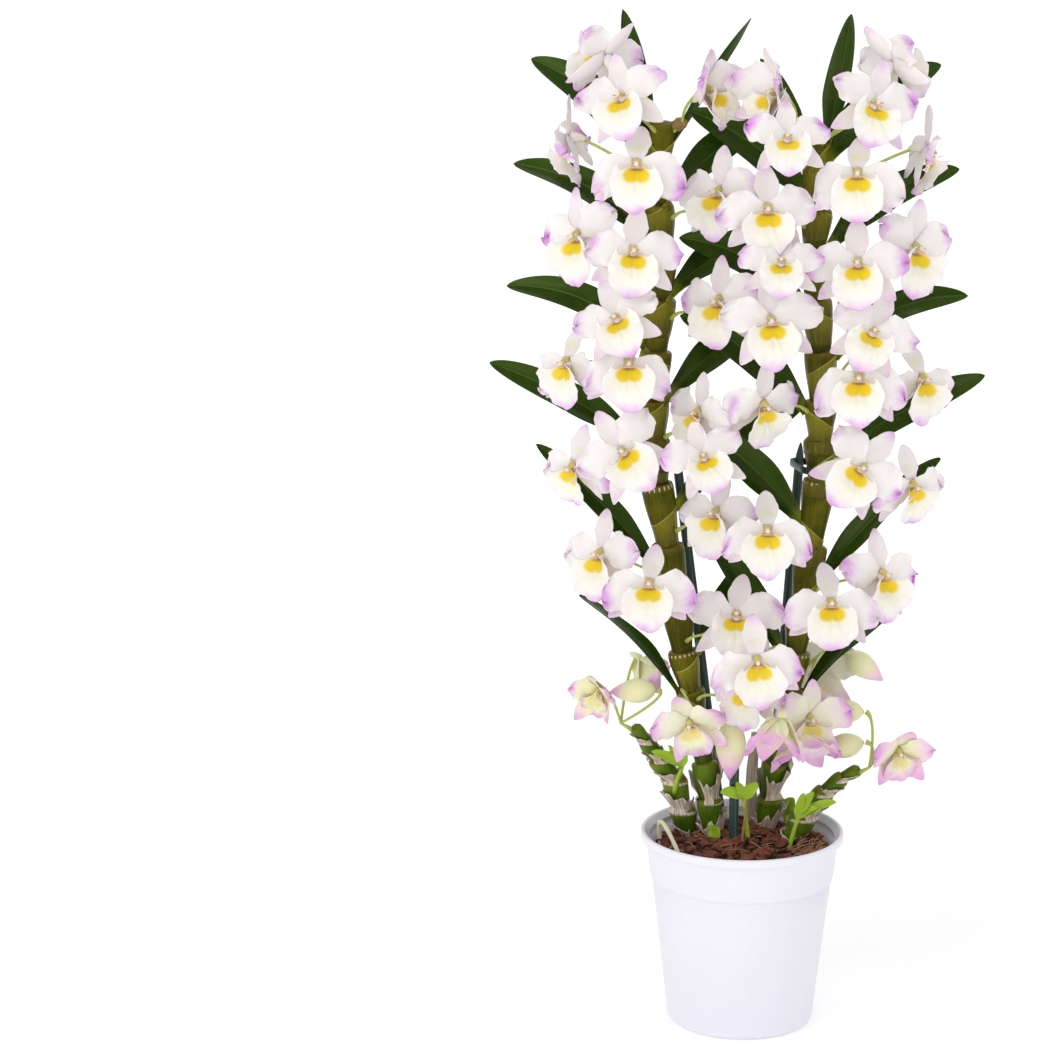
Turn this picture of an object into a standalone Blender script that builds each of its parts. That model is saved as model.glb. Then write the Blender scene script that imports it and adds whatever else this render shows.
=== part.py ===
"""A dendrobium orchid in flower, in its nursery pot.

Two tall canes carry glossy leaves in two rows and short sprays of blooms at their joints.
Two short old canes, a dry one and lime plantlets stand round them in bark, and two stakes
with clips hold the tall canes up. Metres, +Z up, origin at the centre of the pot's underside,
with the side that shows the blooms towards -Y.
"""
import math
import random

import bmesh
import bpy
from mathutils import Matrix, Vector

MM = 0.001
SEAT_GAP = 0.3 * MM

# the pot
POT_HEIGHT = 117 * MM
POT_RIM_RADIUS = 60 * MM
POT_BASE_RADIUS = 43 * MM
POT_WALL = 1.3 * MM
POT_FLOOR = 2.6 * MM
POT_RIM_DEPTH = 5 * MM
POT_RIM_ROLL = 2.6 * MM
POT_STEP_Z = 89 * MM
POT_STEP = 0.9 * MM
POT_FOOT_ROUND = 4 * MM
POT_STEPS = 22
DRAIN_COUNT = 6
DRAIN_RADIUS = 4 * MM
DRAIN_CIRCLE = 25 * MM

# the bark in it
BARK_EDGE_Z = 104 * MM
BARK_CROWN_Z = 109 * MM
BARK_RELIEF = 1.6 * MM
STEM_DEPTH = 16 * MM

# what grows
BLOOM_SPAN = 54 * MM
TEPAL_THICKNESS = 0.8 * MM
LEAF_THICKNESS = 1.1 * MM
PEDICEL_RADIUS = 1.1 * MM
SPUR_RADIUS = 2.3 * MM
PEDUNCLE_RADIUS = 1.7 * MM
STALK_NECK, FORK_REACH, FORK_RISE = 2 * MM, 6 * MM, 4 * MM
SPUR_LENGTH, SPUR_DIP = 17 * MM, 4 * MM
SHOOT_RADIUS, SHOOT_TIP_RADIUS = 1.7 * MM, 1.2 * MM
ROOT_RADIUS = 1.6 * MM
CANE_SIDES = 8
STAKE_RADIUS = 3.0 * MM

# Centre lines of the two tall canes, millimetres, from the bark up: x, y, z.
LEFT_LINE = [
    (-17, 14, 106), (-20, 16, 130), (-23, 18, 152), (-28, 20, 177), (-32, 20, 196), (-37, 20, 220),
    (-40, 20, 245), (-46, 20, 284), (-53, 20, 321), (-55, 20, 347), (-56, 20, 371),
    (-54, 20, 400), (-52, 20, 430), (-51, 20, 459), (-53, 20, 485), (-53, 20, 508), (-51, 20, 532),
]
RIGHT_LINE = [
    (14, 29, 106), (16, 28, 128), (19, 26, 150), (24, 23, 177), (27, 20, 197), (30, 20, 221),
    (33, 20, 246), (38, 20, 285), (42, 20, 325), (42, 20, 349), (42, 20, 372),
    (41, 20, 401), (38, 20, 431), (36, 20, 459), (38, 20, 483), (37, 20, 506), (35, 20, 528),
]
CANE_FOOT_WIDTH, CANE_BELLY_WIDTH, CANE_TOP_WIDTH = 13.0, 18.5, 14.5
RING_SHARE, JOINT_FOOT_SHARE = 1.10, 0.68
LEAF_ROOT = 4.0
RING_REACH = 3.4

# The same for the two short old canes.
SHORT_LEFT_LINE = [
    (-31, 21, 106), (-36, 20, 122), (-41, 18, 141), (-51, 15, 155), (-58, 12, 167), (-64, 10, 175)]
SHORT_RIGHT_LINE = [(28, 10, 106), (37, 11, 122), (49, 12, 137), (59, 12, 146), (68, 12, 151)]

# Leaves of the left cane: base height, tip x, y, z, width, arch, all millimetres, and how far
# the blade's face is turned from the sky (0) to the viewer (90 degrees).
LEFT_LEAVES = [
    (520, -75, 27, 596, 15, -4, 8), (511, -127, 24, 568, 20, 9, 62), (463, -137, 22, 508, 18, 11, 55),
    (401, -141, 22, 437, 17, 12, 50), (346, -151, 20, 392, 17, 4, 55), (268, -124, 24, 343, 15, 5, 40),
    (194, -98, 16, 254, 14, 6, 15),
    (520, -2, 32, 591, 13, -2, 4), (489, 19, 44, 540, 18, 6, 60), (433, 26, 46, 468, 18, 9, 58),
    (371, 27, 46, 422, 18, 9, 58), (306, 33, 41, 366, 18, 7, 58), (218, 16, 58, 281, 15, 5, 40),
]
RIGHT_LEAVES = [
    (519, 55, 27, 594, 15, -4, 8), (510, 106, 24, 566, 20, 9, 62), (459, 118, 22, 507, 18, 11, 55),
    (397, 125, 22, 434, 17, 12, 50), (340, 136, 20, 388, 17, 4, 55), (262, 112, 24, 338, 15, 5, 40),
    (191, 85, 16, 246, 14, 6, 15),
    (517, 4, 44, 567, 13, 3, 4), (489, -36, 12, 540, 20, 8, 66), (429, -41, 8, 468, 19, 9, 64),
    (365, -40, 8, 423, 19, 9, 62), (298, -43, 12, 367, 19, 7, 62), (219, -27, 8, 300, 17, 5, 45),
]

# Blooms: x, y, z of the middle, millimetres; the way it faces, degrees from the viewer to the
# right and up; its roll; its size against BLOOM_SPAN; how far it is folded shut, 0 to 1; and how
# far its petals droop, degrees.
# A spray is the foot's height on its cane, the foot's side in degrees from +X towards +Y, and
# its blooms. The right cane's outer sprays repeat the left one's the other way round.
OUTER_SPRAYS = [
    (528, 235, [(-83, -4, 572, -135, 25, 20, 0.92, 0, 0), (-73, -28, 552, -22, 18, 20, 0.96, 0, 0)]),
    (501, 215, [(-64, -42, 517, 0, 2, 0, 1.00, 0, 36), (-104, 4, 525, -100, -28, 0, 0.95, 0, 20)]),
    (452, 215, [(-98, -6, 471, -38, 2, 14, 1.02, 0, 0), (-66, -30, 466, 6, 10, -4, 0.98, 0, 12)]),
    (393, 217, [(-75, -34, 428, -12, 22, 28, 0.92, 0, 0), (-104, -4, 398, -38, -6, 6, 0.95, 0, 36),
                (-68, -34, 403, 4, 6, 0, 1.00, 0, 36)]),
    (342, 225, [(-71, -30, 351, -6, 10, 42, 0.98, 0, 0), (-100, -8, 338, -42, -22, -8, 0.90, 0, 28)]),
    (266, 215, [(-84, -6, 285, -40, 4, 8, 1.00, 0, 12), (-55, -30, 274, -4, 8, 0, 1.00, 0, 30)]),
]
LEFT_INNER_SPRAYS = [
    (528, 330, [(-27, -2, 553, 58, 12, 0, 1.00, 0.35, 0)]),
    (478, 325, [(-18, -8, 497, -36, 4, 6, 1.00, 0, 8)]),
    (420, 325, [(-17, -10, 435, -34, 2, 6, 1.00, 0, 8)]),
    (350, 325, [(-25, -40, 350, 0, 26, 22, 0.86, 0, 0), (-28, -17, 372, -46, -4, 0, 0.86, 0, 10)]),
    (294, 325, [(-17, -12, 312, -36, 4, 6, 0.98, 0, 12)]),
    (228, 300, [(-5, -14, 251, 0, 26, 0, 1.00, 0, 5)]),
]
RIGHT_INNER_SPRAYS = [
    (524, 210, [(14, -12, 553, -58, 12, 0, 1.00, 0.35, 0), (19, -43, 531, 4, 28, 0, 0.86, 0, 0)]),
    (474, 215, [(9, -32, 491, 4, 4, 0, 0.98, 0, 12), (17, -44, 462, 0, 30, 0, 0.84, 0, 0)]),
    (416, 215, [(12, -34, 428, 4, 6, 4, 1.00, 0, 5)]),
    (366, 215, [(8, -22, 378, 38, -20, 0, 0.92, 0, 10)]),
    (292, 215, [(12, -36, 308, 0, 4, 0, 1.00, 0, 34)]),
    (222, 215, [(7, -54, 236, 6, -6, 6, 1.00, 0, 30), (2, -22, 210, -30, -6, 0, 0.90, 0, 20)]),
]
MIRROR_X, MIRROR_Z_DROP, MIRROR_Z_SLOPE, MIRROR_TOP = -6.0, 3.0, 0.023, 567.0

# Young blooms and buds near the pot, on the short canes' tips and the tall canes' low joints.
YOUNG_SPRAYS = {
    "spray_low_left": ("short_cane_left", 174, 190, [
        (-85, -2, 201, -28, -16, 0, 0.72, 0.40, 0), (-52, 2, 201, -104, -8, 0, 0.85, 0.75, 0),
        (-62, 42, 208, 60, -48, 0, 0.80, 0.55, 0)]),
    "spray_low_front": ("cane_left", 196, 250, [(-31, -20, 188, -8, -18, 20, 0.84, 0.20, 0)]),
    "spray_low_bell": ("cane_left", 192, 300, [(-8, -10, 186, 0, -86, 0, 1.05, 0.95, 0)]),
    "spray_low_right": ("cane_right", 196, 235, [
        (21, -44, 197, -20, -62, 0, 0.92, 0.55, 0), (38, -4, 187, 26, 0, -10, 0.92, 0.10, 0),
        (33, -6, 178, 24, -58, 0, 0.95, 0.40, 0)]),
    "spray_low_outer": ("short_cane_right", 150, 330, [
        (91, 8, 165, 22, -18, -6, 0.80, 0.35, 0), (71, 26, 183, -98, -2, 0, 0.82, 0.96, 0),
        (71, 16, 167, -98, -14, 0, 0.85, 0.70, 0)]),
    "spray_low_back": ("cane_right", 212, 20, [
        (61, 34, 216, 106, -38, 0, 0.85, 0.70, 0), (43, 46, 204, 150, -4, 0, 0.90, 0.15, 0)]),
}


def v_mm(x, y, z):
    return Vector((x, y, z)) * MM


def finish(name, colour, roughness):
    material = bpy.data.materials.new(name)
    material.use_nodes = True
    shader = material.node_tree.nodes["Principled BSDF"]
    shader.inputs["Base Color"].default_value = (*colour, 1.0)
    shader.inputs["Roughness"].default_value = roughness
    shader.inputs["Metallic"].default_value = 0.0
    material.diffuse_color = (*colour, 1.0)
    return material


def new_object(name, data, collection=None):
    thing = bpy.data.objects.new(name, data)
    (collection or parts).objects.link(thing)
    return thing


def as_mesh(thing, weld=False):
    """Makes an object's evaluated shape its own mesh, in world space, and removes the object."""
    bpy.context.view_layer.update()
    depsgraph = bpy.context.evaluated_depsgraph_get()
    mesh = bpy.data.meshes.new_from_object(thing.evaluated_get(depsgraph))
    mesh.transform(thing.matrix_world)
    name = thing.name
    bpy.data.objects.remove(thing)
    if weld:
        work = bmesh.new()
        work.from_mesh(mesh)
        bmesh.ops.remove_doubles(work, verts=work.verts, dist=1e-6)
        bmesh.ops.recalc_face_normals(work, faces=work.faces)
        work.to_mesh(mesh)
        work.free()
    return new_object(name, mesh, loose)


def fused(name, pieces, material, solver="EXACT"):
    """Joins closed pieces into one body by one Boolean union on a collection."""
    body = new_object(name, pieces[0].data.copy())
    bpy.data.objects.remove(pieces[0])
    body.name = name
    if len(pieces) > 1:
        others = bpy.data.collections.new(name + "_joined")
        bpy.context.scene.collection.children.link(others)
        for piece in pieces[1:]:
            loose.objects.unlink(piece)
            others.objects.link(piece)
        union = body.modifiers.new("union", "BOOLEAN")
        union.operation = "UNION"
        union.solver = solver
        union.operand_type = "COLLECTION"
        union.collection = others
        bpy.context.view_layer.update()
        depsgraph = bpy.context.evaluated_depsgraph_get()
        whole = bpy.data.meshes.new_from_object(body.evaluated_get(depsgraph))
        body.modifiers.clear()
        body.data = whole
        for piece in list(others.objects):
            bpy.data.objects.remove(piece)
        bpy.data.collections.remove(others)
    body.data.materials.clear()
    body.data.materials.append(material)
    return body


def rod(name, points, radii, sides=8):
    """A closed rod along points, on a straight-segment curve with its own radius at each point."""
    curve = bpy.data.curves.new(name, "CURVE")
    curve.dimensions = "3D"
    curve.resolution_u = 1
    curve.bevel_depth = 1.0
    curve.bevel_resolution = (sides - 4) // 2
    curve.use_fill_caps = True
    line = curve.splines.new("POLY")
    line.points.add(len(points) - 1)
    for spot, place, radius in zip(line.points, points, radii):
        spot.co = (*place, 1.0)
        spot.radius = radius
    return as_mesh(new_object(name, curve, loose), weld=True)


def bent(start, middle, end, steps):
    """Points along a smooth bend from start to end that is drawn towards middle."""
    return [bend_at(start, middle, end, step / steps) for step in range(steps + 1)]


def bend_at(start, middle, end, t):
    return start * (1 - t) ** 2 + middle * 2 * t * (1 - t) + end * t ** 2


def sheet(name, rows, thickness):
    """A closed blade from rows of points, last row one point for a pointed end."""
    work = bmesh.new()
    weave(work, [[work.verts.new(place) for place in row] for row in rows])
    return thickened(name, work, thickness)


def thickened(name, work, thickness):
    bmesh.ops.triangulate(work, faces=work.faces)
    mesh = bpy.data.meshes.new(name)
    work.to_mesh(mesh)
    work.free()
    blade = new_object(name, mesh, loose)
    solid = blade.modifiers.new("thickness", "SOLIDIFY")
    solid.thickness = thickness
    solid.offset = 0.0
    return as_mesh(blade)


# The blades of a bloom in parts of BLOOM_SPAN: reach, width, forward rise at half and at full
# reach, how much it narrows as it folds shut and where its rows lie along it.
SEPAL = (0.53, 0.26, -0.020, -0.035, 0.25, (0.5, 1.0))
PETAL = (0.54, 0.43, 0.040, 0.010, 0.42, (0.36, 0.78, 1.0))
SIDE_SEPAL = (0.54, 0.25, -0.055, -0.045, 0.25, (0.5, 1.0))
# Round a bloom: the blade's angle, how that angle and how far it leans back follow the droop.
BLADES = [(-42, 0, 0, SIDE_SEPAL), (22, -1, 0, PETAL), (90, 0, 1.15, SEPAL), (158, 1, 0, PETAL),
          (222, 0, 0, SIDE_SEPAL)]
HUB = 0.082
# The blades' roots on the hub: angles round it and how each follows the droop; the lip's root.
EDGES = [(-54, 0), (-20, -0.4), (58, -0.5), (122, 0.5), (200, 0.4), (234, 0)]
LIP_BASE = [246, 258, 270, 282, 294]
# The lip's rim: its radius, its centre's drop, how far forward it stands, half its spread and flare.
LIP_RADIUS, LIP_DROP, LIP_OUT, LIP_SPREAD, LIP_FLARE = 0.275, -0.215, 0.19, 132, 0.04
HALF_OPEN = 72
BUD_FOLD = 0.65


def blade_rows(angle, blade, span, fold, lean):
    """Rows across one sepal or petal beyond the hub, last the tip, folded forwards or leaning back."""
    reach, width, half_rise, full_rise, narrowing, shares = blade
    out = polar(angle, 1, 1)
    across = Vector((-out.y, out.x, 0))
    forward = Vector((0, 0, 1))
    width *= 1 - narrowing * fold
    bow = math.radians(HALF_OPEN * fold - lean)
    rows = []
    for t in shares:
        beyond = (reach - HUB) * t
        rise = half_rise * 4 * t * (1 - t) + full_rise * t * t
        middle = out * (HUB + beyond * math.cos(bow)) + forward * (rise + beyond * math.sin(bow))
        half = width / 2 * math.sin(math.pi * (0.06 + 0.80 * t)) ** 0.7
        rows.append([(middle - across * half) * span, (middle + across * half) * span])
    rows[-1] = [middle * span]
    return rows


def bloom(name, place, azimuth, elevation, roll, size, fold, droop):
    """One bloom in a single body: a hub, three sepals, two petals and the lip's bowl."""
    span = BLOOM_SPAN * size
    turn = facing(place, azimuth, elevation, roll)
    if fold >= BUD_FOLD:
        return bud(name, turn, span)
    work = bmesh.new()
    corner = [work.verts.new(polar(a + share * droop, HUB, span)) for a, share in EDGES]
    for (angle, share, lean, blade), first, last in zip(BLADES, range(5), range(1, 6)):
        rows = [[corner[first], corner[last]]]
        for row in blade_rows(angle + share * droop, blade, span, fold, lean * droop):
            rows.append([work.verts.new(spot) for spot in row])
        weave(work, rows)
    base = [work.verts.new(polar(a, HUB, span)) for a in LIP_BASE]
    work.faces.new([*reversed(corner + base)])
    shut = 1 - 0.45 * fold
    rim = []
    for k in range(len(LIP_BASE)):
        side = math.radians(LIP_SPREAD * (2 * k / (len(LIP_BASE) - 1) - 1))
        across, down = LIP_RADIUS * math.sin(side), LIP_DROP - LIP_RADIUS * math.cos(side)
        rim.append(Vector((across * shut, down * shut, LIP_OUT - LIP_FLARE * math.cos(side))) * span)
    weave(work, [base, [work.verts.new(spot) for spot in rim]])
    body = thickened(name, work, TEPAL_THICKNESS)
    body.data.transform(turn)
    return body


def bud(name, turn, span):
    """A closed bud: one fat pointed body where the sepals still lie shut."""
    heights = [-0.01, 0.14, 0.34, 0.55, 0.62]
    radii = [0.05, 0.13, 0.15, 0.07, 0.01]
    return rod(name, [turn @ Vector((0, 0, h * span)) for h in heights], [r * span for r in radii], 8)


def polar(angle, radius, span):
    return Vector((math.cos(math.radians(angle)), math.sin(math.radians(angle)), 0)) * radius * span


def weave(work, rows):
    for near, far in zip(rows, rows[1:]):
        for i in range(len(near) - 1):
            if len(far) == 1:
                work.faces.new((near[i], near[i + 1], far[0]))
            else:
                work.faces.new((near[i], near[i + 1], far[i + 1], far[i]))


def facing(place, azimuth, elevation, roll):
    """The transform that stands a bloom at place, looking azimuth to the right and elevation up."""
    a, e = math.radians(azimuth), math.radians(elevation)
    out = Vector((math.sin(a) * math.cos(e), -math.cos(a) * math.cos(e), math.sin(e)))
    right = Vector((math.cos(a), math.sin(a), 0))
    up = out.cross(right)
    turn = Matrix((right, up, out)).transposed().to_4x4()
    return Matrix.Translation(place) @ turn @ Matrix.Rotation(math.radians(roll), 4, "Z")


def on_line(line, z):
    """The centre of a cane at height z, millimetres, from its line's points."""
    for low, high in zip(line, line[1:]):
        if z <= high[2]:
            t = (z - low[2]) / (high[2] - low[2])
            return Vector(low).lerp(Vector(high), t)
    return Vector(line[-1])


def cane_width(z):
    """How thick a tall cane is at height z, millimetres: slim at the foot, fullest at mid height."""
    t = (z - 106) / 420
    belly = 1.18 * CANE_BELLY_WIDTH
    return CANE_FOOT_WIDTH * (1 - t) ** 2 + 2 * belly * t * (1 - t) + CANE_TOP_WIDTH * t * t


def tall_cane(name, line):
    """A cane of club-shaped joints: each one starts slim above the ring of the one below it."""
    first = Vector(line[0])
    points, radii = [first - Vector((0, 0, STEM_DEPTH / MM)), first], [CANE_FOOT_WIDTH / 2] * 2
    nodes = line[1:]
    for place in nodes[:-1]:
        radius = cane_width(place[2]) / 2
        points += [Vector(place) - Vector((0, 0, 1)), Vector(place) + Vector((0, 0, 1.2))]
        radii += [radius * RING_SHARE, radius * JOINT_FOOT_SHARE]
    points += [Vector(nodes[-1]) - Vector((0, 0, 4)), Vector(nodes[-1])]
    radii += [CANE_TOP_WIDTH / 2, CANE_TOP_WIDTH / 2 * 0.7]
    return rod(name, [p * MM for p in points], [r * MM for r in radii], CANE_SIDES)


LEAF_ROWS = [(0.0, 0.34), (0.28, 0.90), (0.80, 0.88)]
SMALL_LEAF_ROWS = [(0.0, 0.40), (0.60, 1.0)]


def leaf(name, base, tip, width, arch, turn, shape=LEAF_ROWS):
    """One leathery leaf: a narrow foot in the cane, a blunt tip, a shallow fold along its middle."""
    along = (tip - base).normalized()
    sky = Vector((0, 0, 1))
    viewer = Vector((0, -1, 0))
    face = sky * math.cos(math.radians(turn)) + viewer * math.sin(math.radians(turn))
    face = (face - along * face.dot(along)).normalized()
    across = along.cross(face)
    middle = (base + tip) / 2 + (sky - along * sky.dot(along)) * arch * 2 * MM
    strip = []
    for t, share in shape:
        spot = bend_at(base, middle, tip, t)
        half = width / 2 * MM * share
        lift = face * half * 0.28
        strip.append([spot - across * half + lift, spot, spot + across * half + lift])
    strip.append([tip])
    return sheet(name, strip, LEAF_THICKNESS)


def leafy_cane(name, line, leaves, material):
    pieces = [tall_cane(name + "_stem", line)]
    for number, (z, x, y, tip_z, width, arch, turn) in enumerate(leaves):
        base = on_line(line, z)
        side = 1 if x > base.x else -1
        start = Vector((base.x + side * (cane_width(z) / 2 - LEAF_ROOT), base.y, z))
        pieces.append(leaf(f"{name}_leaf_{number}", start * MM, v_mm(x, y, tip_z), width, arch, turn))
    return fused(name, pieces, material)


def seat(host, centre, side):
    """Where a stalk sits on its host: a spot just clear of the face on that side, and its normal."""
    reach = polar(side, 1, 1)
    bpy.context.view_layer.update()
    _, spot, normal, _ = host.ray_cast(centre, reach)
    if normal.dot(reach) < 0:
        normal = -normal
    return spot + normal * SEAT_GAP, normal


def spray(name, host, centre, side, blooms, material):
    """A short stalk from a joint of a cane, and a pedicel from it to each bloom's spur."""
    foot, outward = seat(host, centre, side)
    neck = foot + outward * STALK_NECK
    fork = foot + outward * FORK_REACH + Vector((0, 0, FORK_RISE))
    pieces = []
    for number, (x, y, z, azimuth, elevation, roll, size, fold, droop) in enumerate(blooms):
        place = v_mm(x, y, z)
        turn = facing(place, azimuth, elevation, roll)
        spur = turn.translation
        behind = turn @ Vector((0, -SPUR_DIP, -SPUR_LENGTH * size))
        route = bent(fork, behind, spur, 2)
        radii = [PEDICEL_RADIUS * 1.1, PEDICEL_RADIUS, SPUR_RADIUS * size]
        if number == 0:
            route = [foot, neck] + route
            radii = [PEDUNCLE_RADIUS, PEDUNCLE_RADIUS] + radii
        pieces.append(rod(f"{name}_pedicel_{number}", route, radii, 4))
        pieces.append(bloom(f"{name}_bloom_{number}", place, azimuth, elevation, roll, size, fold, droop))
    return fused(name, pieces, material)


def mirrored(blooms):
    rows = []
    for x, y, z, azimuth, elevation, roll, size, fold, droop in blooms:
        rows.append((MIRROR_X - x, y, z - MIRROR_Z_DROP - MIRROR_Z_SLOPE * (MIRROR_TOP - z),
                     -azimuth, elevation, -roll, size, fold, droop))
    return rows


def clear_of_rings(line, z):
    """The height z, millimetres, raised where a cane's ring would be in the way of a stalk."""
    for place in line[1:-1]:
        if abs(z - place[2]) < RING_REACH:
            return place[2] + RING_REACH
    return z


def cane_sprays(cane, line, outer, inner, material):
    for group, rows in (("outer", outer), ("inner", inner)):
        for number, (z, side, blooms) in enumerate(rows, 1):
            name = cane.name.replace("cane", "spray") + f"_{group}_{number}"
            spray(name, cane, on_line(line, clear_of_rings(line, z)) * MM, side, blooms, material)


def turned(name, profile, steps, collection=None):
    """A turned shape from a profile of (radius, height) that runs from its top outside to the axis."""
    work = bmesh.new()
    spots = [work.verts.new((r, 0, z)) for r, z in profile]
    for a, b in zip(spots, spots[1:]):
        work.edges.new((a, b))
    mesh = bpy.data.meshes.new(name)
    work.to_mesh(mesh)
    work.free()
    thing = new_object(name, mesh, collection)
    screw = thing.modifiers.new("turn", "SCREW")
    screw.steps = steps
    screw.render_steps = steps
    screw.use_merge_vertices = True
    screw.merge_threshold = 0.0001
    screw.use_smooth_shade = True
    return thing


def wall_radius(z):
    """The pot's outer radius at height z, below the step in its wall."""
    top = POT_RIM_RADIUS - POT_RIM_ROLL - POT_STEP
    return POT_BASE_RADIUS + (top - POT_BASE_RADIUS) * z / POT_HEIGHT


def inner_radius(z):
    return wall_radius(z) - POT_WALL


def pot(material):
    roll = [(POT_RIM_RADIUS - POT_RIM_ROLL / 2 + POT_RIM_ROLL / 2 * math.cos(a),
             POT_HEIGHT - POT_RIM_ROLL / 2 + POT_RIM_ROLL / 2 * math.sin(a))
            for a in (math.radians(90), math.radians(30), math.radians(-30))]
    skirt = POT_HEIGHT - POT_RIM_DEPTH
    round_middle = wall_radius(POT_FOOT_ROUND) - POT_FOOT_ROUND
    foot = [(round_middle + POT_FOOT_ROUND * math.sin(a), POT_FOOT_ROUND - POT_FOOT_ROUND * math.cos(a))
            for a in (math.radians(90), math.radians(45), 0.0)]
    outside = roll + [(POT_RIM_RADIUS - POT_WALL / 3, skirt), (wall_radius(skirt) + POT_STEP, skirt),
                      (wall_radius(POT_STEP_Z) + POT_STEP, POT_STEP_Z + MM),
                      (wall_radius(POT_STEP_Z), POT_STEP_Z - MM)]
    inside = [(0.0, POT_FLOOR), (inner_radius(0) - POT_FOOT_ROUND, POT_FLOOR),
              (inner_radius(POT_FLOOR + POT_FOOT_ROUND), POT_FLOOR + POT_FOOT_ROUND),
              (inner_radius(POT_HEIGHT), POT_HEIGHT)]
    vessel = turned("pot", outside + foot + [(0.0, 0.0)] + inside + [roll[0]], POT_STEPS)
    for number in range(DRAIN_COUNT):
        turn = 2 * math.pi * (number + 0.5) / DRAIN_COUNT
        bpy.ops.mesh.primitive_cylinder_add(
            vertices=8, radius=DRAIN_RADIUS, depth=20 * MM,
            location=(DRAIN_CIRCLE * math.cos(turn), DRAIN_CIRCLE * math.sin(turn), 0))
        hole = bpy.context.object
        hole.name = f"drain_{number}"
        as_cutter(hole, drains)
    cut = vessel.modifiers.new("drains", "BOOLEAN")
    cut.operation = "DIFFERENCE"
    cut.operand_type = "COLLECTION"
    cut.collection = drains
    vessel.data.materials.append(material)
    return vessel


def as_cutter(thing, collection):
    for owner in list(thing.users_collection):
        owner.objects.unlink(thing)
    collection.objects.link(thing)
    thing.hide_render = True
    thing.display_type = "WIRE"


def bark(material):
    """The bark fills the pot to below its rim, mounded and lumpy, with a plain hole for each stem."""
    draw = random.Random(7)
    rings = [(0.0, 1), (0.32, 8), (0.66, 16), (1.0, POT_STEPS)]
    top_radius = inner_radius(BARK_EDGE_Z) - 1.6 * SEAT_GAP
    work = bmesh.new()
    loops = []
    for share, count in rings:
        loop = []
        for k in range(count):
            a = 2 * math.pi * k / count
            z = BARK_EDGE_Z + (BARK_CROWN_Z - BARK_EDGE_Z) * (1 - share ** 2)
            if 0 < share < 1:
                z += draw.uniform(-BARK_RELIEF, BARK_RELIEF)
            spot = Vector((math.cos(a), math.sin(a), 0)) * top_radius * share
            loop.append(work.verts.new((spot.x, spot.y, z)))
        loops.append(loop)
    low = []
    corner_z = POT_FLOOR + POT_FOOT_ROUND + MM
    for z, inset in ((corner_z, 0), (POT_FLOOR + SEAT_GAP, POT_FOOT_ROUND + 1.5 * MM)):
        radius = inner_radius(z) - 1.6 * SEAT_GAP - inset
        spots = [polar(360 * k / POT_STEPS, radius, 1) for k in range(POT_STEPS)]
        low.append([work.verts.new((spot.x, spot.y, z)) for spot in spots])
    for inner, outer in zip(loops[1:], loops[2:]):
        stitch(work, inner, outer)
    for k in range(8):
        work.faces.new((loops[0][0], loops[1][k], loops[1][(k + 1) % 8]))
    for upper, lower in zip([loops[-1]] + low, low):
        for k in range(POT_STEPS):
            n = (k + 1) % POT_STEPS
            work.faces.new((upper[k], lower[k], lower[n], upper[n]))
    work.faces.new(list(reversed(low[-1])))
    bmesh.ops.recalc_face_normals(work, faces=work.faces)
    mesh = bpy.data.meshes.new("bark")
    work.to_mesh(mesh)
    work.free()
    heap = new_object("bark", mesh)
    cut = heap.modifiers.new("stem_holes", "BOOLEAN")
    cut.operation = "DIFFERENCE"
    cut.operand_type = "COLLECTION"
    cut.collection = stem_holes
    heap.data.materials.append(material)
    return heap


def stitch(work, inner, outer):
    """Faces between two rings whose counts differ, taken in step round the circle."""
    i = o = 0
    ni, no = len(inner), len(outer)
    while i < ni or o < no:
        if (i + 1) / ni <= (o + 1) / no and i < ni:
            work.faces.new((inner[i % ni], outer[o % no], inner[(i + 1) % ni]))
            i += 1
        else:
            work.faces.new((inner[i % ni], outer[o % no], outer[(o + 1) % no]))
            o += 1


def planted(name, points, radii, sides, material, extra=()):
    """A stem that stands in its own hole in the bark, with anything in extra joined to it."""
    stem = rod(name + "_stem", points, radii, sides)
    dig(name, points, radii, sides)
    return fused(name, [stem, *extra], material)


def dig(name, points, radii, sides):
    """The cutter of a stem's plain hole: its rod a little thicker, from its foot to above the bark."""
    down = (points[0] - points[1]).normalized()
    hole = rod(name + "_hole", [points[0] + down * 2 * SEAT_GAP, *points[1:]],
               [r + 1.6 * SEAT_GAP for r in radii], sides)
    as_cutter(hole, stem_holes)


def short_cane(name, line, widths, material):
    """An old leafless cane of short joints, each slim at its foot."""
    points, radii = [], []
    spots = [Vector(p) for p in line]
    points += [spots[0] - Vector((0, 0, STEM_DEPTH / MM)), spots[0]]
    radii += [widths[0] / 2, widths[0] / 2]
    for near, far, width in zip(spots, spots[1:], widths[1:]):
        along = (far - near).normalized()
        points += [far - along * 1.5, far + along * 1.0]
        radii += [width / 2, width / 2 * 0.72]
    points.append(spots[-1] + along * 4)
    radii.append(widths[-1] / 2 * 0.5)
    return planted(name, [p * MM for p in points], [r * MM for r in radii], CANE_SIDES, material)


def plantlet(name, stalk, leaves, width, material, in_bark=True):
    """A lime young shoot: a thin stalk with a few small leaves at its top."""
    top = stalk[-1]
    blades = []
    for number, tip in enumerate(leaves):
        blades.append(leaf(f"{name}_leaf_{number}", top, tip, width, 2, 55, SMALL_LEAF_ROWS))
    points = stalk[:-1] + [top + (top - stalk[-2]).normalized() * MM]
    radii = [SHOOT_RADIUS] * (len(points) - 1) + [SHOOT_TIP_RADIUS]
    if in_bark:
        return planted(name, points, radii, 4, material, blades)
    return fused(name, [rod(name + "_stem", points, radii, 4), *blades], material)


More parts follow.
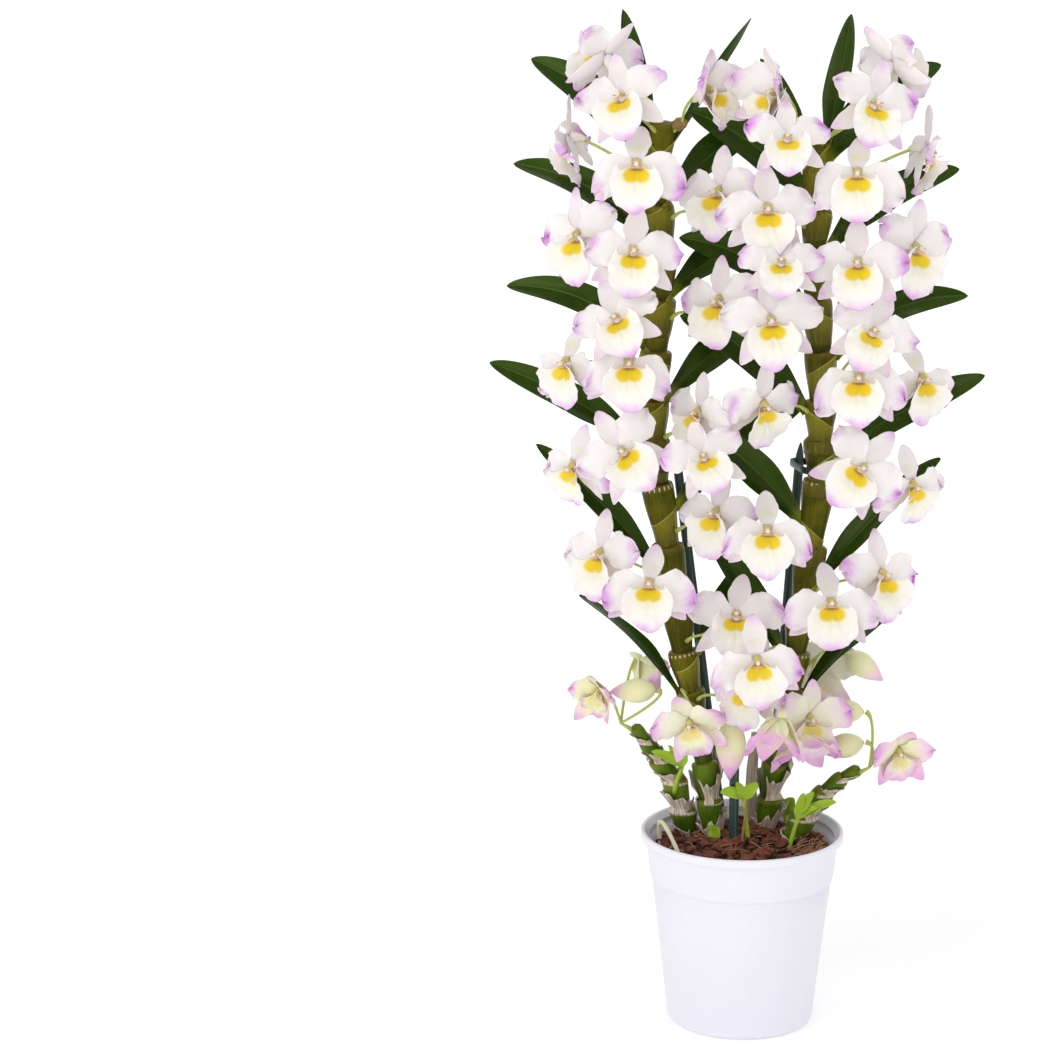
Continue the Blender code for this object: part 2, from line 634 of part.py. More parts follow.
def clip(name, line, z, stake_at, material):
    """A flat ring of black plastic round a cane and its stake."""
    centre = on_line(line, z)
    post = stake_at(z * MM) / MM
    circles = [(centre.x, centre.y, cane_width(z) / 2 * 1.08 + 1.2),
               (post.x, post.y, STAKE_RADIUS / MM + 0.9)]
    curve = bpy.data.curves.new(name, "CURVE")
    curve.dimensions = "2D"
    curve.fill_mode = "BOTH"
    curve.extrude = 2.0 * MM
    for grow in (2.0, 0.0):
        spots = []
        for k in range(12):
            a = 2 * math.pi * k / 12
            cx, cy, r = max(circles, key=lambda c: c[0] * math.cos(a) + c[1] * math.sin(a) + c[2])
            spots.append((cx + (r + grow) * math.cos(a), cy + (r + grow) * math.sin(a)))
        ring = curve.splines.new("POLY")
        ring.points.add(len(spots) - 1)
        for spot, (x, y) in zip(ring.points, spots):
            spot.co = (x * MM, y * MM, 0, 1)
        ring.use_cyclic_u = True
    band = new_object(name, curve, loose)
    band.location.z = z * MM
    return fused(name, [as_mesh(band, weld=True)], material)


def stake(name, foot, top, material):
    """A straight plastic-coated stake that stands in the bark and tapers to a point."""
    along = (top - foot).normalized()
    points = [foot - along * STEM_DEPTH, top - along * 9 * MM, top]
    radii = [STAKE_RADIUS, STAKE_RADIUS * 0.85, STAKE_RADIUS * 0.35]
    planted(name, points, radii, 8, material)
    return lambda z: foot + along * (z - foot.z) / along.z


for old in list(bpy.data.objects):
    bpy.data.objects.remove(old)
parts = bpy.data.collections.new("dendrobium_orchid")
loose = bpy.data.collections.new("loose_pieces")
stem_holes = bpy.data.collections.new("stem_holes")
drains = bpy.data.collections.new("drain_holes")
for group in (parts, loose, stem_holes, drains):
    bpy.context.scene.collection.children.link(group)

white_plastic = finish("white_plastic", (0.86, 0.86, 0.93), 0.35)
bark_brown = finish("bark_brown", (0.10, 0.028, 0.014), 0.9)
cane_green = finish("cane_green", (0.07, 0.095, 0.012), 0.35)
old_cane = finish("old_cane_green", (0.045, 0.10, 0.015), 0.45)
dry_sheath = finish("dry_sheath", (0.48, 0.40, 0.32), 0.8)
petal_white = finish("petal_white", (0.86, 0.82, 0.86), 0.55)
young_petal = finish("young_petal", (0.84, 0.78, 0.55), 0.55)
lime = finish("lime_shoot", (0.32, 0.58, 0.02), 0.4)
stake_green = finish("stake_green", (0.015, 0.04, 0.035), 0.5)
clip_black = finish("clip_black", (0.01, 0.01, 0.012), 0.4)
root_white = finish("root_white", (0.72, 0.68, 0.58), 0.8)

left_cane = leafy_cane("cane_left", LEFT_LINE, LEFT_LEAVES, cane_green)
right_cane = leafy_cane("cane_right", RIGHT_LINE, RIGHT_LEAVES, cane_green)
for name, line in (("cane_left", LEFT_LINE), ("cane_right", RIGHT_LINE)):
    low, high = Vector(line[0]), Vector(line[1])
    root = low - Vector((0, 0, STEM_DEPTH / MM))
    dig(name, [root * MM, low * MM, high * MM], [CANE_FOOT_WIDTH / 2 * MM] * 3, CANE_SIDES)

right_outer = [(z - 6, 180 - side, mirrored(blooms)) for z, side, blooms in OUTER_SPRAYS]
cane_sprays(left_cane, LEFT_LINE, OUTER_SPRAYS, LEFT_INNER_SPRAYS, petal_white)
cane_sprays(right_cane, RIGHT_LINE, right_outer, RIGHT_INNER_SPRAYS, petal_white)

short_left = short_cane("short_cane_left", SHORT_LEFT_LINE, [13, 15, 14, 12, 9, 7], old_cane)
short_right = short_cane("short_cane_right", SHORT_RIGHT_LINE, [14, 15, 12, 9, 7], old_cane)
planted("dry_cane", [v_mm(5, 42, 92), v_mm(5, 41, 130), v_mm(7, 38, 165)],
        [3.6 * MM, 3.4 * MM, 2.2 * MM], 6, dry_sheath)

left_stake = stake("stake_left", v_mm(-12, 35, 106), v_mm(-43, 31, 344), stake_green)
right_stake = stake("stake_right", v_mm(16, 45, 106), v_mm(31, 34, 344), stake_green)
stake("stake_front", v_mm(-5, 1, 106), v_mm(-5, 4, 190), stake_green)
clip("clip_left", LEFT_LINE, 332, left_stake, clip_black)
clip("clip_right", RIGHT_LINE, 332, right_stake, clip_black)

hosts = {"cane_left": (left_cane, LEFT_LINE), "cane_right": (right_cane, RIGHT_LINE),
         "short_cane_left": (short_left, SHORT_LEFT_LINE),
         "short_cane_right": (short_right, SHORT_RIGHT_LINE)}
for name, (host, z, side, blooms) in YOUNG_SPRAYS.items():
    cane, line = hosts[host]
    spray(name, cane, on_line(line, clear_of_rings(line, z)) * MM, side, blooms, young_petal)

foot, outward = seat(short_left, on_line(SHORT_LEFT_LINE, 134) * MM, 290)
plantlet("plantlet_left", [foot, foot + outward * STALK_NECK, v_mm(-36, 6, 152)],
         [v_mm(-54, 2, 163), v_mm(-35, 4, 166)], 7, lime, in_bark=False)
plantlet("plantlet_middle", [v_mm(5, 4, 96), v_mm(1, -2, 136)], [v_mm(-13, -6, 141), v_mm(9, -4, 146)],
         8, lime)
plantlet("plantlet_right", [v_mm(26, -4, 96), v_mm(33, -3, 126)], [v_mm(42, -5, 142), v_mm(55, -4, 136)],
         8, lime)
plantlet("shoot_back", [v_mm(27, 38, 98), v_mm(26, 38, 114)], [v_mm(31, 36, 125), v_mm(21, 38, 124)],
         8, lime)
plantlet("shoot_front", [v_mm(-15, 2, 98), v_mm(-16, 1, 110)], [v_mm(-20, -1, 119), v_mm(-14, -2, 118)],
         6, lime)

arch = bent(v_mm(-43, 0, 98), v_mm(-52, -6, 146), v_mm(-34, -24, 98), 9)
root = rod("aerial_root_stem", arch, [ROOT_RADIUS] * len(arch), 6)
for end, inner in ((arch[0], arch[2]), (arch[-1], arch[-3])):
    dig("aerial_root", [end, inner], [ROOT_RADIUS + SEAT_GAP] * 2, 6)
fused("aerial_root", [root], root_white)

bark(bark_brown)
pot(white_plastic)
bpy.data.collections.remove(loose)
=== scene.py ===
"""A dendrobium orchid in flower in its white nursery pot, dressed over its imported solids."""
import random
from math import atan2, copysign, cos, degrees, exp, hypot, pi, radians, sin, sqrt

import bmesh
import bpy
import numpy as np
from mathutils import Matrix, Vector


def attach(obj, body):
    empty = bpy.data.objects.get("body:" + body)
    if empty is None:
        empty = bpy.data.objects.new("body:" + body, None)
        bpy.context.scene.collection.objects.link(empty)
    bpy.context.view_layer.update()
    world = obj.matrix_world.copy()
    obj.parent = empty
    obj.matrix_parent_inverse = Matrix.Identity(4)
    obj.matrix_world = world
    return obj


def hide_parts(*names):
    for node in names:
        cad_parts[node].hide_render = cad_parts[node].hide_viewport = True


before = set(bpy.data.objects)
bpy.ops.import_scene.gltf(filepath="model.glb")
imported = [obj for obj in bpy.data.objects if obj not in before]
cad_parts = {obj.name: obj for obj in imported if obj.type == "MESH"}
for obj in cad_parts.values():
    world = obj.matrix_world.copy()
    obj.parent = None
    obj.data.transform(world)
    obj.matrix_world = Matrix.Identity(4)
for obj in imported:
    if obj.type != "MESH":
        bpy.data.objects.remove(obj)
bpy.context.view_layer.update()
MM = 0.001


# The studio: a white floor that runs to the horizon, a long lens a little above the plant, and
# broad soft lights from the left, the front, the right, above and behind.
class Socket:
    """One output of a shader node. Arithmetic on it adds the Math nodes."""

    def __init__(self, finish, output):
        self.finish = finish
        self.output = output

    def math(self, operation, *values):
        return self.finish.node("ShaderNodeMath", {"operation": operation}, dict(enumerate(values)))

    def __add__(self, other):
        return self.math("ADD", self, other)

    def __sub__(self, other):
        return self.math("SUBTRACT", self, other)

    def __rsub__(self, other):
        return self.math("SUBTRACT", other, self)

    def __mul__(self, other):
        return self.math("MULTIPLY", self, other)

    def __truediv__(self, other):
        return self.math("DIVIDE", self, other)

    def __pow__(self, other):
        return self.math("POWER", self, other)

    __radd__ = __add__
    __rmul__ = __mul__

    def __abs__(self):
        return self.math("ABSOLUTE", self)

    def bent(self, operation, other=0.0):
        return self.math(operation, self, other)

    def rise(self, low, high):
        """0 below low, 1 above high, smooth between."""
        return self.finish.node("ShaderNodeMapRange", {"interpolation_type": "SMOOTHSTEP"},
                                {0: self, 1: low, 2: high, 3: 0.0, 4: 1.0})

    def mix(self, factor, other):
        return self.finish.mix(factor, self, other)


class Finish:
    """A material: plain values go straight on the shader, and what varies is fed to it."""

    def __init__(self, name, **plain):
        self.material = bpy.data.materials.new(name)
        self.material.use_nodes = True
        self.tree = self.material.node_tree
        self.shader = self.tree.nodes["Principled BSDF"]
        for label, value in plain.items():
            self.shader.inputs[label.replace("_", " ")].default_value = value

    def node(self, kind, settings, inputs, output=0):
        made = self.tree.nodes.new(kind)
        for key, value in settings.items():
            setattr(made, key, value)
        for key, value in inputs.items():
            if isinstance(value, Socket):
                self.tree.links.new(value.output, made.inputs[key])
            else:
                made.inputs[key].default_value = value
        return Socket(self, made.outputs[output])

    def feed(self, label, value):
        self.tree.links.new(value.output, self.shader.inputs[label])

    def noise(self, scale, detail=3.0):
        inputs = {"Scale": scale, "Detail": detail, "Roughness": 0.55, "Vector": self.place()}
        return self.node("ShaderNodeTexNoise", {}, inputs)

    def streaks(self, x, y, z, detail):
        """Noise drawn out along a piece, from numbers that its mesh carries."""
        where = self.node("ShaderNodeCombineXYZ", {}, {0: x, 1: y, 2: z})
        return self.node("ShaderNodeTexNoise", {}, {"Scale": 1.0, "Detail": detail, "Vector": where})

    def place(self):
        return self.node("ShaderNodeTexCoord", {}, {}, "Object")

    def told(self, name):
        """The three numbers that the mesh carries under a name, x, y and z."""
        vector = self.node("ShaderNodeAttribute", {"attribute_name": name}, {}, "Vector")
        return [self.node("ShaderNodeSeparateXYZ", {}, {0: vector}, axis) for axis in range(3)]

    def mix(self, factor, one, other):
        return self.node("ShaderNodeMix", {"data_type": "RGBA"}, {0: factor, 6: one, 7: other}, 2)

    def bump(self, height, strength, distance):
        self.feed("Normal", self.node("ShaderNodeBump", {}, {"Height": height, "Strength": strength,
                                                             "Distance": distance}))


def rgb(red, green, blue):
    """A colour given as it looks on screen, 0 to 255, in the shader's own linear values."""
    shares = (red / 255, green / 255, blue / 255)
    return (*(c / 12.92 if c < 0.0405 else ((c + 0.055) / 1.055) ** 2.4 for c in shares), 1.0)


def piece(name, verts, faces, finish, told=None, slot=None):
    """A mesh object that stands in the plant's frame, with the numbers that its finish reads."""
    mesh = bpy.data.meshes.new(name)
    mesh.from_pydata([tuple(v) for v in verts], [], [tuple(f) for f in faces])
    mesh.polygons.foreach_set("use_smooth", [True] * len(mesh.polygons))
    for label, rows in (told or {}).items():
        layer = mesh.attributes.new(label, "FLOAT_VECTOR", "POINT")
        layer.data.foreach_set("vector", np.asarray(rows, dtype=np.float32).ravel())
    mesh.materials.append(finish.material)
    made = bpy.data.objects.new(name, mesh)
    bpy.context.scene.collection.objects.link(made)
    if slot:
        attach(made, "root")
    return made


floor_finish = Finish("studio_floor", Base_Color=rgb(250, 250, 250), Roughness=0.9, Emission_Strength=0.45)
away = floor_finish.node("ShaderNodeVectorMath", {"operation": "LENGTH"}, {0: floor_finish.place()}, 1)
glow = floor_finish.mix(away.rise(0.20, 1.30), rgb(175, 175, 175), rgb(255, 255, 255))
floor_finish.feed("Emission Color", glow)
FLOOR_REACH = 80.0
corners = [(x * FLOOR_REACH, y * FLOOR_REACH, 0) for x, y in ((-1, -1), (1, -1), (1, 1), (-1, 1))]
floor = piece("floor", corners, [(0, 1, 2, 3)], floor_finish)

CAMERA_SPOT = (0.0, -1.90, 0.74)
CAMERA_DOWN, CAMERA_LEFT = radians(13.0179), radians(3.8836)
camera = bpy.data.objects.new("camera", bpy.data.cameras.new("camera"))
camera.location = CAMERA_SPOT
camera.rotation_euler = (radians(90) - CAMERA_DOWN, 0.0, CAMERA_LEFT)
camera.data.lens = 114.9
camera.data.sensor_width = 36.0
bpy.context.scene.collection.objects.link(camera)
bpy.context.scene.camera = camera

world = bpy.data.worlds.new("studio")
world.use_nodes = True
sky_light = world.node_tree.nodes["Background"]
sky_light.inputs["Color"].default_value = (1.0, 1.0, 1.0, 1.0)
sky_light.inputs["Strength"].default_value = 0.64
bpy.context.scene.world = world
bpy.context.scene.view_settings.view_transform = "Standard"
# Each lamp's place, the height on the plant's axis that it faces, its size and its power, in metres
# and watts.
LAMPS = [
    ("window_left", (-1.5, -1.7, 1.7), 0.35, 1.3, 13),
    ("window_front", (-0.35, -2.3, 1.1), 0.25, 1.0, 6.5),
    ("window_right", (1.9, -1.3, 1.0), 0.30, 1.6, 3.5),
    ("skylight", (0.2, 0.5, 2.3), 0.30, 1.4, 7),
    ("backlight", (0.8, 2.0, 1.2), 0.35, 1.2, 4),
]
for name, spot, target, size, watts in LAMPS:
    lamp = bpy.data.lights.new(name, "AREA")
    lamp.size = size
    lamp.energy = watts
    stand = bpy.data.objects.new(name, lamp)
    stand.location = spot
    stand.rotation_euler = (Vector((0, 0, target)) - Vector(spot)).to_track_quat("-Z", "Y").to_euler()
    bpy.context.scene.collection.objects.link(stand)


# The pot: a thin white moulded nursery pot with a rolled rim, a shallow step in its wall that
# shows as a line on both sides, and six drain holes in its flat base.
POT_HEIGHT, RIM_RADIUS, BASE_RADIUS, POT_WALL, POT_FLOOR = 117.0, 60.0, 43.0, 1.3, 2.6
POT_STEP_Z, POT_STEP, POT_GROOVE, RIM_ROLL, FOOT_ROUND = 89.0, 0.9, 0.45, 2.6, 4.0
RIM_BAND = 5.0
DRAIN_HOLES, DRAIN_RADIUS, DRAIN_CIRCLE = 6, 4.0, 25.0


def wall_radius(z):
    return BASE_RADIUS + (RIM_RADIUS - RIM_ROLL - POT_STEP - BASE_RADIUS) * z / POT_HEIGHT


def arc(centre, radius, start, end, count):
    angles = np.radians(np.linspace(start, end, count))
    return [(centre[0] + radius * cos(a), centre[1] + radius * sin(a)) for a in angles]


def lathe(profile, steps):
    """Vertices and faces of a closed turned shape from (radius, height) rows, axis to axis."""
    verts, faces = [(0, 0, profile[0][1]), (0, 0, profile[-1][1])], []
    inner = profile[1:-1]
    for r, z in inner:
        for k in range(steps):
            a = 2 * pi * k / steps
            verts.append((r * cos(a), r * sin(a), z))
    for k in range(steps):
        n = (k + 1) % steps
        faces.append((0, 2 + n, 2 + k))
        for row in range(len(inner) - 1):
            base = 2 + row * steps
            faces.append((base + k, base + n, base + steps + n, base + steps + k))
        base = 2 + (len(inner) - 1) * steps
        faces.append((1, base + k, base + n))
    return np.array(verts) * MM, faces


skirt = POT_HEIGHT - RIM_BAND
outside = [(0, 0), (wall_radius(0) - 6, 0)]
outside += arc((wall_radius(FOOT_ROUND) - FOOT_ROUND, FOOT_ROUND), FOOT_ROUND, -90, 0, 7)
outside += [(wall_radius(z), z) for z in (20, 45, 70, POT_STEP_Z - 2.4)]
outside += [(wall_radius(z) - POT_GROOVE, z) for z in (POT_STEP_Z - 1.6, POT_STEP_Z - 0.6)]
outside += [(wall_radius(z) + POT_STEP, z) for z in (POT_STEP_Z + 0.2, POT_STEP_Z + 0.9, 100, skirt - 0.6)]
outside += [(wall_radius(skirt) + POT_STEP + 0.4, skirt - 0.1), (RIM_RADIUS - 0.8, skirt)]
outside += arc((RIM_RADIUS - 1.0, skirt + 1.0), 1.0, -60, 0, 4)
outside += arc((RIM_RADIUS - RIM_ROLL / 2, POT_HEIGHT - RIM_ROLL / 2), RIM_ROLL / 2, 0, 180, 9)
inside = [(wall_radius(z) - POT_WALL, z) for z in (113.4, 112.8)]
inside += [(wall_radius(z) - POT_WALL + 0.5, z) for z in (112.2, 108.6)]
inside += [(wall_radius(z) - POT_WALL, z) for z in (108.0, 90.4)]
inside += [(wall_radius(z) - POT_WALL - 0.1, z) for z in (89.0, 60, 30, POT_FLOOR + FOOT_ROUND)]
inside += [(wall_radius(0) - POT_WALL - FOOT_ROUND, POT_FLOOR), (0, POT_FLOOR)]
pot_white = Finish("pot_white", Roughness=0.34, IOR=1.46, Subsurface_Weight=0.08,
                   Subsurface_Radius=(0.9, 0.9, 1.0), Subsurface_Scale=0.004)
speck = pot_white.noise(210.0, 2.0)
cloud = pot_white.noise(9.0, 2.0)
paint = pot_white.mix(cloud * 0.35, rgb(238, 237, 245), rgb(225, 223, 239))
paint = paint.mix(speck.rise(0.60, 0.74) * 0.20, rgb(246, 246, 250))
pot_white.feed("Base Color", paint)
pot_white.feed("Roughness", 0.30 + cloud * 0.14)
pot_white.bump(speck + pot_white.noise(60.0, 2.0) * 0.8, 0.22, 0.0006)
verts, faces = lathe(outside + inside, 120)
vessel = piece("nursery_pot", verts, faces, pot_white)
for number in range(DRAIN_HOLES):
    turn = 2 * pi * (number + 0.5) / DRAIN_HOLES
    spot = (DRAIN_CIRCLE * MM * cos(turn), DRAIN_CIRCLE * MM * sin(turn), 0)
    bpy.ops.mesh.primitive_cylinder_add(vertices=24, radius=DRAIN_RADIUS * MM, depth=20 * MM, location=spot)
    drill = bpy.context.object
    cut = vessel.modifiers.new("drain", "BOOLEAN")
    cut.operation = "DIFFERENCE"
    cut.object = drill
    bpy.context.view_layer.update()
    drilled = bpy.data.meshes.new_from_object(vessel.evaluated_get(bpy.context.evaluated_depsgraph_get()))
    vessel.modifiers.clear()
    vessel.data = drilled
    bpy.data.objects.remove(drill)
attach(vessel, "root")
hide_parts("pot")


# The bark: reddish-brown chips of pine bark, dry and rough, mounded to just under the rim, over
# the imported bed, which stays and is finished as the same bark in shade.
def bark_finish(name, light, dark):
    finish = Finish(name, Roughness=0.88)
    grain = finish.noise(320.0, 5.0)
    patch = finish.noise(70.0, 3.0)
    colour = finish.mix(patch, dark, light)
    colour = colour.mix(grain.rise(0.58, 0.75) * 0.55, rgb(168, 116, 84))
    finish.feed("Base Color", colour.mix(grain.rise(0.47, 0.30) * 0.6, rgb(38, 18, 12)))
    finish.bump(grain + patch * 1.5, 0.9, 0.0016)
    return finish


bark_brown = bark_finish("bark_chips", rgb(154, 88, 62), rgb(50, 25, 19))
bark_shade = bark_finish("bark_bed", rgb(66, 36, 27), rgb(34, 18, 13))
for face_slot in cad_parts["bark"].material_slots:
    face_slot.material = bark_shade.material

CHIPS, CHIP_CORNERS = 400, 15
BARK_TOP, BARK_MOUND, BED_RADIUS = 106.5, 3.0, 52.0
draw = random.Random(41)
chips = bmesh.new()
for number in range(CHIPS):
    r = (BED_RADIUS - 1.5) * sqrt(draw.random())
    a = draw.uniform(0, 2 * pi)
    long = draw.uniform(3.0, 11.0)
    size = Vector((long, long * draw.uniform(0.4, 0.85), long * draw.uniform(0.22, 0.5)))
    if r > BED_RADIUS - long * 0.5:
        r = BED_RADIUS - long * 0.7
    turn = Matrix.Rotation(draw.uniform(0, 6.28), 4, "Z") @ Matrix.Rotation(draw.gauss(0, 0.42), 4, "X")
    z = BARK_TOP + BARK_MOUND * (1 - (r / (BED_RADIUS - 1.0)) ** 2) + draw.uniform(-2.2, 2.0)
    place = Matrix.Translation((r * cos(a), r * sin(a), z)) @ turn
    corners = []
    for _ in range(CHIP_CORNERS):
        way = Vector((draw.gauss(0, 1), draw.gauss(0, 1), draw.gauss(0, 1))).normalized()
        way = [copysign(abs(c) ** 0.6, c) * s * draw.uniform(0.42, 0.56) for c, s in zip(way, size)]
        corners.append(chips.verts.new((place @ Vector(way)) * MM))
    within = bmesh.ops.convex_hull(chips, input=corners)["geom_interior"]
    buried = {v for v in within if isinstance(v, bmesh.types.BMVert)}
    bmesh.ops.delete(chips, geom=list(buried), context="VERTS")
bark_mesh = bpy.data.meshes.new("bark_pieces")
chips.to_mesh(bark_mesh)
chips.free()
bark_mesh.materials.append(bark_brown.material)
bark_pieces = bpy.data.objects.new("bark_pieces", bark_mesh)
bpy.context.scene.collection.objects.link(bark_pieces)
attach(bark_pieces, "root")


# The two tall canes: fleshy olive stems of club-shaped joints, each joint ringed by the pale
# edge and the fine upright lines of its old sheath. They stand in the bark.
LEFT_LINE = [
    (-17, 14, 106), (-20, 16, 130), (-23, 18, 152), (-28, 20, 177), (-32, 20, 196), (-37, 20, 220),
    (-40, 20, 245), (-46, 20, 284), (-53, 20, 321), (-55, 20, 347), (-56, 20, 371),
    (-54, 20, 400), (-52, 20, 430), (-51, 20, 459), (-53, 20, 485), (-53, 20, 508), (-51, 20, 532),
]
RIGHT_LINE = [
    (14, 29, 106), (16, 28, 128), (19, 26, 150), (24, 23, 177), (27, 20, 197), (30, 20, 221),
    (33, 20, 246), (38, 20, 285), (42, 20, 325), (42, 20, 349), (42, 20, 372),
    (41, 20, 401), (38, 20, 431), (36, 20, 459), (38, 20, 483), (37, 20, 506), (35, 20, 528),
]
CANE_FOOT, CANE_BELLY, CANE_TOP = 13.0, 18.5, 14.5
CANE_SWELL = 1.18
CANE_Z, CANE_LENGTH = 106, 420
OLD_BELOW, OLD_FADE = 215, 70
STEM_DEPTH = 12.0
RING_AT, RING_GIRTH = (0.955, 0.975, 0.995, 1.008), (1.06, 1.05, 1.03, 0.96)


def cane_width(z):
    """A tall cane's width at height z, millimetres: widest about its middle."""
    t = (z - CANE_Z) / CANE_LENGTH
    return CANE_FOOT * (1 - t) ** 2 + 2 * CANE_SWELL * CANE_BELLY * t * (1 - t) + CANE_TOP * t * t


def on_line(line, z):
    for low, high in zip(line, line[1:]):
        if z <= high[2]:
            t = (z - low[2]) / (high[2] - low[2])
            return Vector(low).lerp(Vector(high), t)
    return Vector(line[-1])


def ease(t):
    t = min(max(t, 0.0), 1.0)
    return t * t * (3 - 2 * t)


class Mesh:
    """Collects tubes and thin blades with the numbers their finish reads, then makes one piece."""

    def __init__(self):
        self.verts, self.faces, self.told = [], [], {}

    def take(self, verts, faces, told):
        start = len(self.verts)
        self.verts.extend(verts)
        self.faces.extend([tuple(start + i for i in f) for f in faces])
        for label, rows in told.items():
            self.told.setdefault(label, []).extend(rows)

    def tube(self, points, radii, sides, tell, section=lambda row, share: 1.0):
        """A closed tube along points, millimetres. tell(row, angle share) gives its numbers."""
        points = [Vector(p) for p in points]
        verts, faces, told = [], [], {}
        side = None
        for row, (place, radius) in enumerate(zip(points, radii)):
            along = points[min(row + 1, len(points) - 1)] - points[max(row - 1, 0)]
            along.normalize()
            if side is None:
                side = along.orthogonal().normalized()
                if abs(along.z) > 0.6:
                    side = (Vector((1, 0, 0)) - along * along.x).normalized()
            side = (side - along * side.dot(along)).normalized()
            third = along.cross(side)
            for k in range(sides):
                a = 2 * pi * k / sides
                reach = radius * section(row, k / sides)
                verts.append((place + (side * cos(a) + third * sin(a)) * reach) * MM)
                for label, value in tell(row, k / sides).items():
                    told.setdefault(label, []).append(value)
        for row in range(len(points) - 1):
            for k in range(sides):
                n = (k + 1) % sides
                this, above = row * sides, (row + 1) * sides
                faces.append((this + k, this + n, above + n, above + k))
        faces.append(tuple(reversed(range(sides))))
        faces.append(tuple(range((len(points) - 1) * sides, len(points) * sides)))
        self.take(verts, faces, told)

    def blade(self, grid, thickness, told):
        """A closed thin blade from a grid of points, metres, thickened both ways along its normals."""
        grid = np.asarray(grid, dtype=float)
        rows, cols = grid.shape[:2]
        down = np.gradient(grid, axis=0)
        across = np.gradient(grid, axis=1)
        normal = np.cross(down, across)
        normal /= np.maximum(np.linalg.norm(normal, axis=2, keepdims=True), 1e-12)
        half = np.asarray(thickness, dtype=float)
        half = np.broadcast_to(half, (rows, cols))[:, :, None] / 2
        verts = np.concatenate([grid + normal * half, grid - normal * half]).reshape(-1, 3)
        back = rows * cols
        faces = []
        for i in range(rows - 1):
            for j in range(cols - 1):
                a = i * cols + j
                faces.append((a, a + cols, a + cols + 1, a + 1))
                faces.append((back + a, back + a + 1, back + a + cols + 1, back + a + cols))
        edge = list(range(cols)) + [i * cols + cols - 1 for i in range(1, rows)]
        edge += [(rows - 1) * cols + j for j in range(cols - 2, -1, -1)]
        edge += [i * cols for i in range(rows - 2, 0, -1)]
        for a, b in zip(edge, edge[1:] + edge[:1]):
            faces.append((a, b, back + b, back + a))
        both = {}
        for label, rows_told in told.items():
            flat = np.asarray(rows_told, dtype=float).reshape(-1, 3)
            both[label] = np.concatenate([flat, flat]).tolist()
        self.take(verts.tolist(), faces, both)

    def make(self, name, finish, slot, *nodes):
        made = piece(name, self.verts, self.faces, finish, self.told, slot)
        if nodes:
            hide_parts(*nodes)


cane_olive = Finish("cane_olive", Roughness=0.34, IOR=1.38, Specular_Tint=rgb(255, 238, 150))
round_about, height, old = cane_olive.told("joint")
shade = cane_olive.noise(48.0, 3.0)
fibre = cane_olive.streaks(round_about * 26, height * 1.3, old * 9, 3.0)
sunny = (fibre * 0.4 + shade * 0.7).rise(0.36, 0.76)
colour = cane_olive.mix(sunny, rgb(50, 54, 4), rgb(108, 104, 14))
green = cane_olive.mix(sunny, rgb(54, 80, 10), rgb(102, 130, 34))
colour = colour.mix(old.rise(0.30, 0.9), green)
colour = colour.mix(height.rise(0.30, 0.0) * 0.65, rgb(48, 46, 10))
colour = colour.mix(height.rise(0.84, 0.96) * 0.4, rgb(140, 122, 40))
ticks = ((round_about * 60).bent("SINE") + shade * 0.8).rise(0.75, 1.25)
ticks = ticks * height.rise(0.885, 0.92) * height.rise(0.992, 0.975)
far_up = cane_olive.node("ShaderNodeSeparateXYZ", {}, {0: cane_olive.place()}, 2)
ticks = ticks * abs(far_up - 0.268).rise(0.036, 0.042) * far_up.rise(0.336, 0.330)
ticks = ticks * far_up.rise(0.200, 0.206)
colour = colour.mix(ticks * 0.9, rgb(226, 220, 194))
colour = colour.mix(height.rise(0.972, 0.985) * 0.5, rgb(104, 84, 36))
cane_olive.feed("Base Color", colour)
cane_olive.feed("Roughness", 0.28 + fibre * 0.2)
cane_olive.bump(fibre * 0.6 + ticks * 0.6, 0.30, 0.0005)


def club(t):
    """A joint's girth against the cane's width, t from its slim foot to the shoulder under its ring."""
    return 0.74 + 0.34 * ease(t * 1.10 + 0.04)


def joints(mesh, line, width, aged, rows=9, sides=28):
    """A stem of club-shaped joints along a line: each starts slim above the ring below it."""
    line = [Vector(p) for p in line]
    points = [line[0] - (line[1] - line[0]).normalized() * STEM_DEPTH]
    radii = [width(line[0].z) / 2 * 0.92]
    facts = [(0.5, 0.0)]
    for number, (low, high) in enumerate(zip(line, line[1:])):
        for row in range(rows):
            t = row / (rows - 1) * 0.93
            points.append(low.lerp(high, 0.02 + t))
            radii.append(width(points[-1].z) / 2 * club(0.02 + t))
            facts.append((t, number))
        points += [low.lerp(high, t) for t in RING_AT]
        radii += [width(high.z) / 2 * share for share in RING_GIRTH]
        facts += [(min(t, 1.0), number) for t in RING_AT]
    points.append(line[-1] + (line[-1] - line[-2]).normalized() * 1.5)
    radii.append(width(line[-1].z) / 2 * 0.6)
    facts.append((0.5, len(line)))

    def tell(row, share):
        return {"joint": (share * 2 - 1, facts[row][0], aged(points[row].z))}
    mesh.tube(points, radii, sides, tell)


for who, line in (("left", LEFT_LINE), ("right", RIGHT_LINE)):
    stem = Mesh()
    joints(stem, line, cane_width, aged=lambda z: ease((OLD_BELOW - z) / OLD_FADE))
    stem.make(f"{who}_cane", cane_olive, "cane_green", f"cane_{who}")


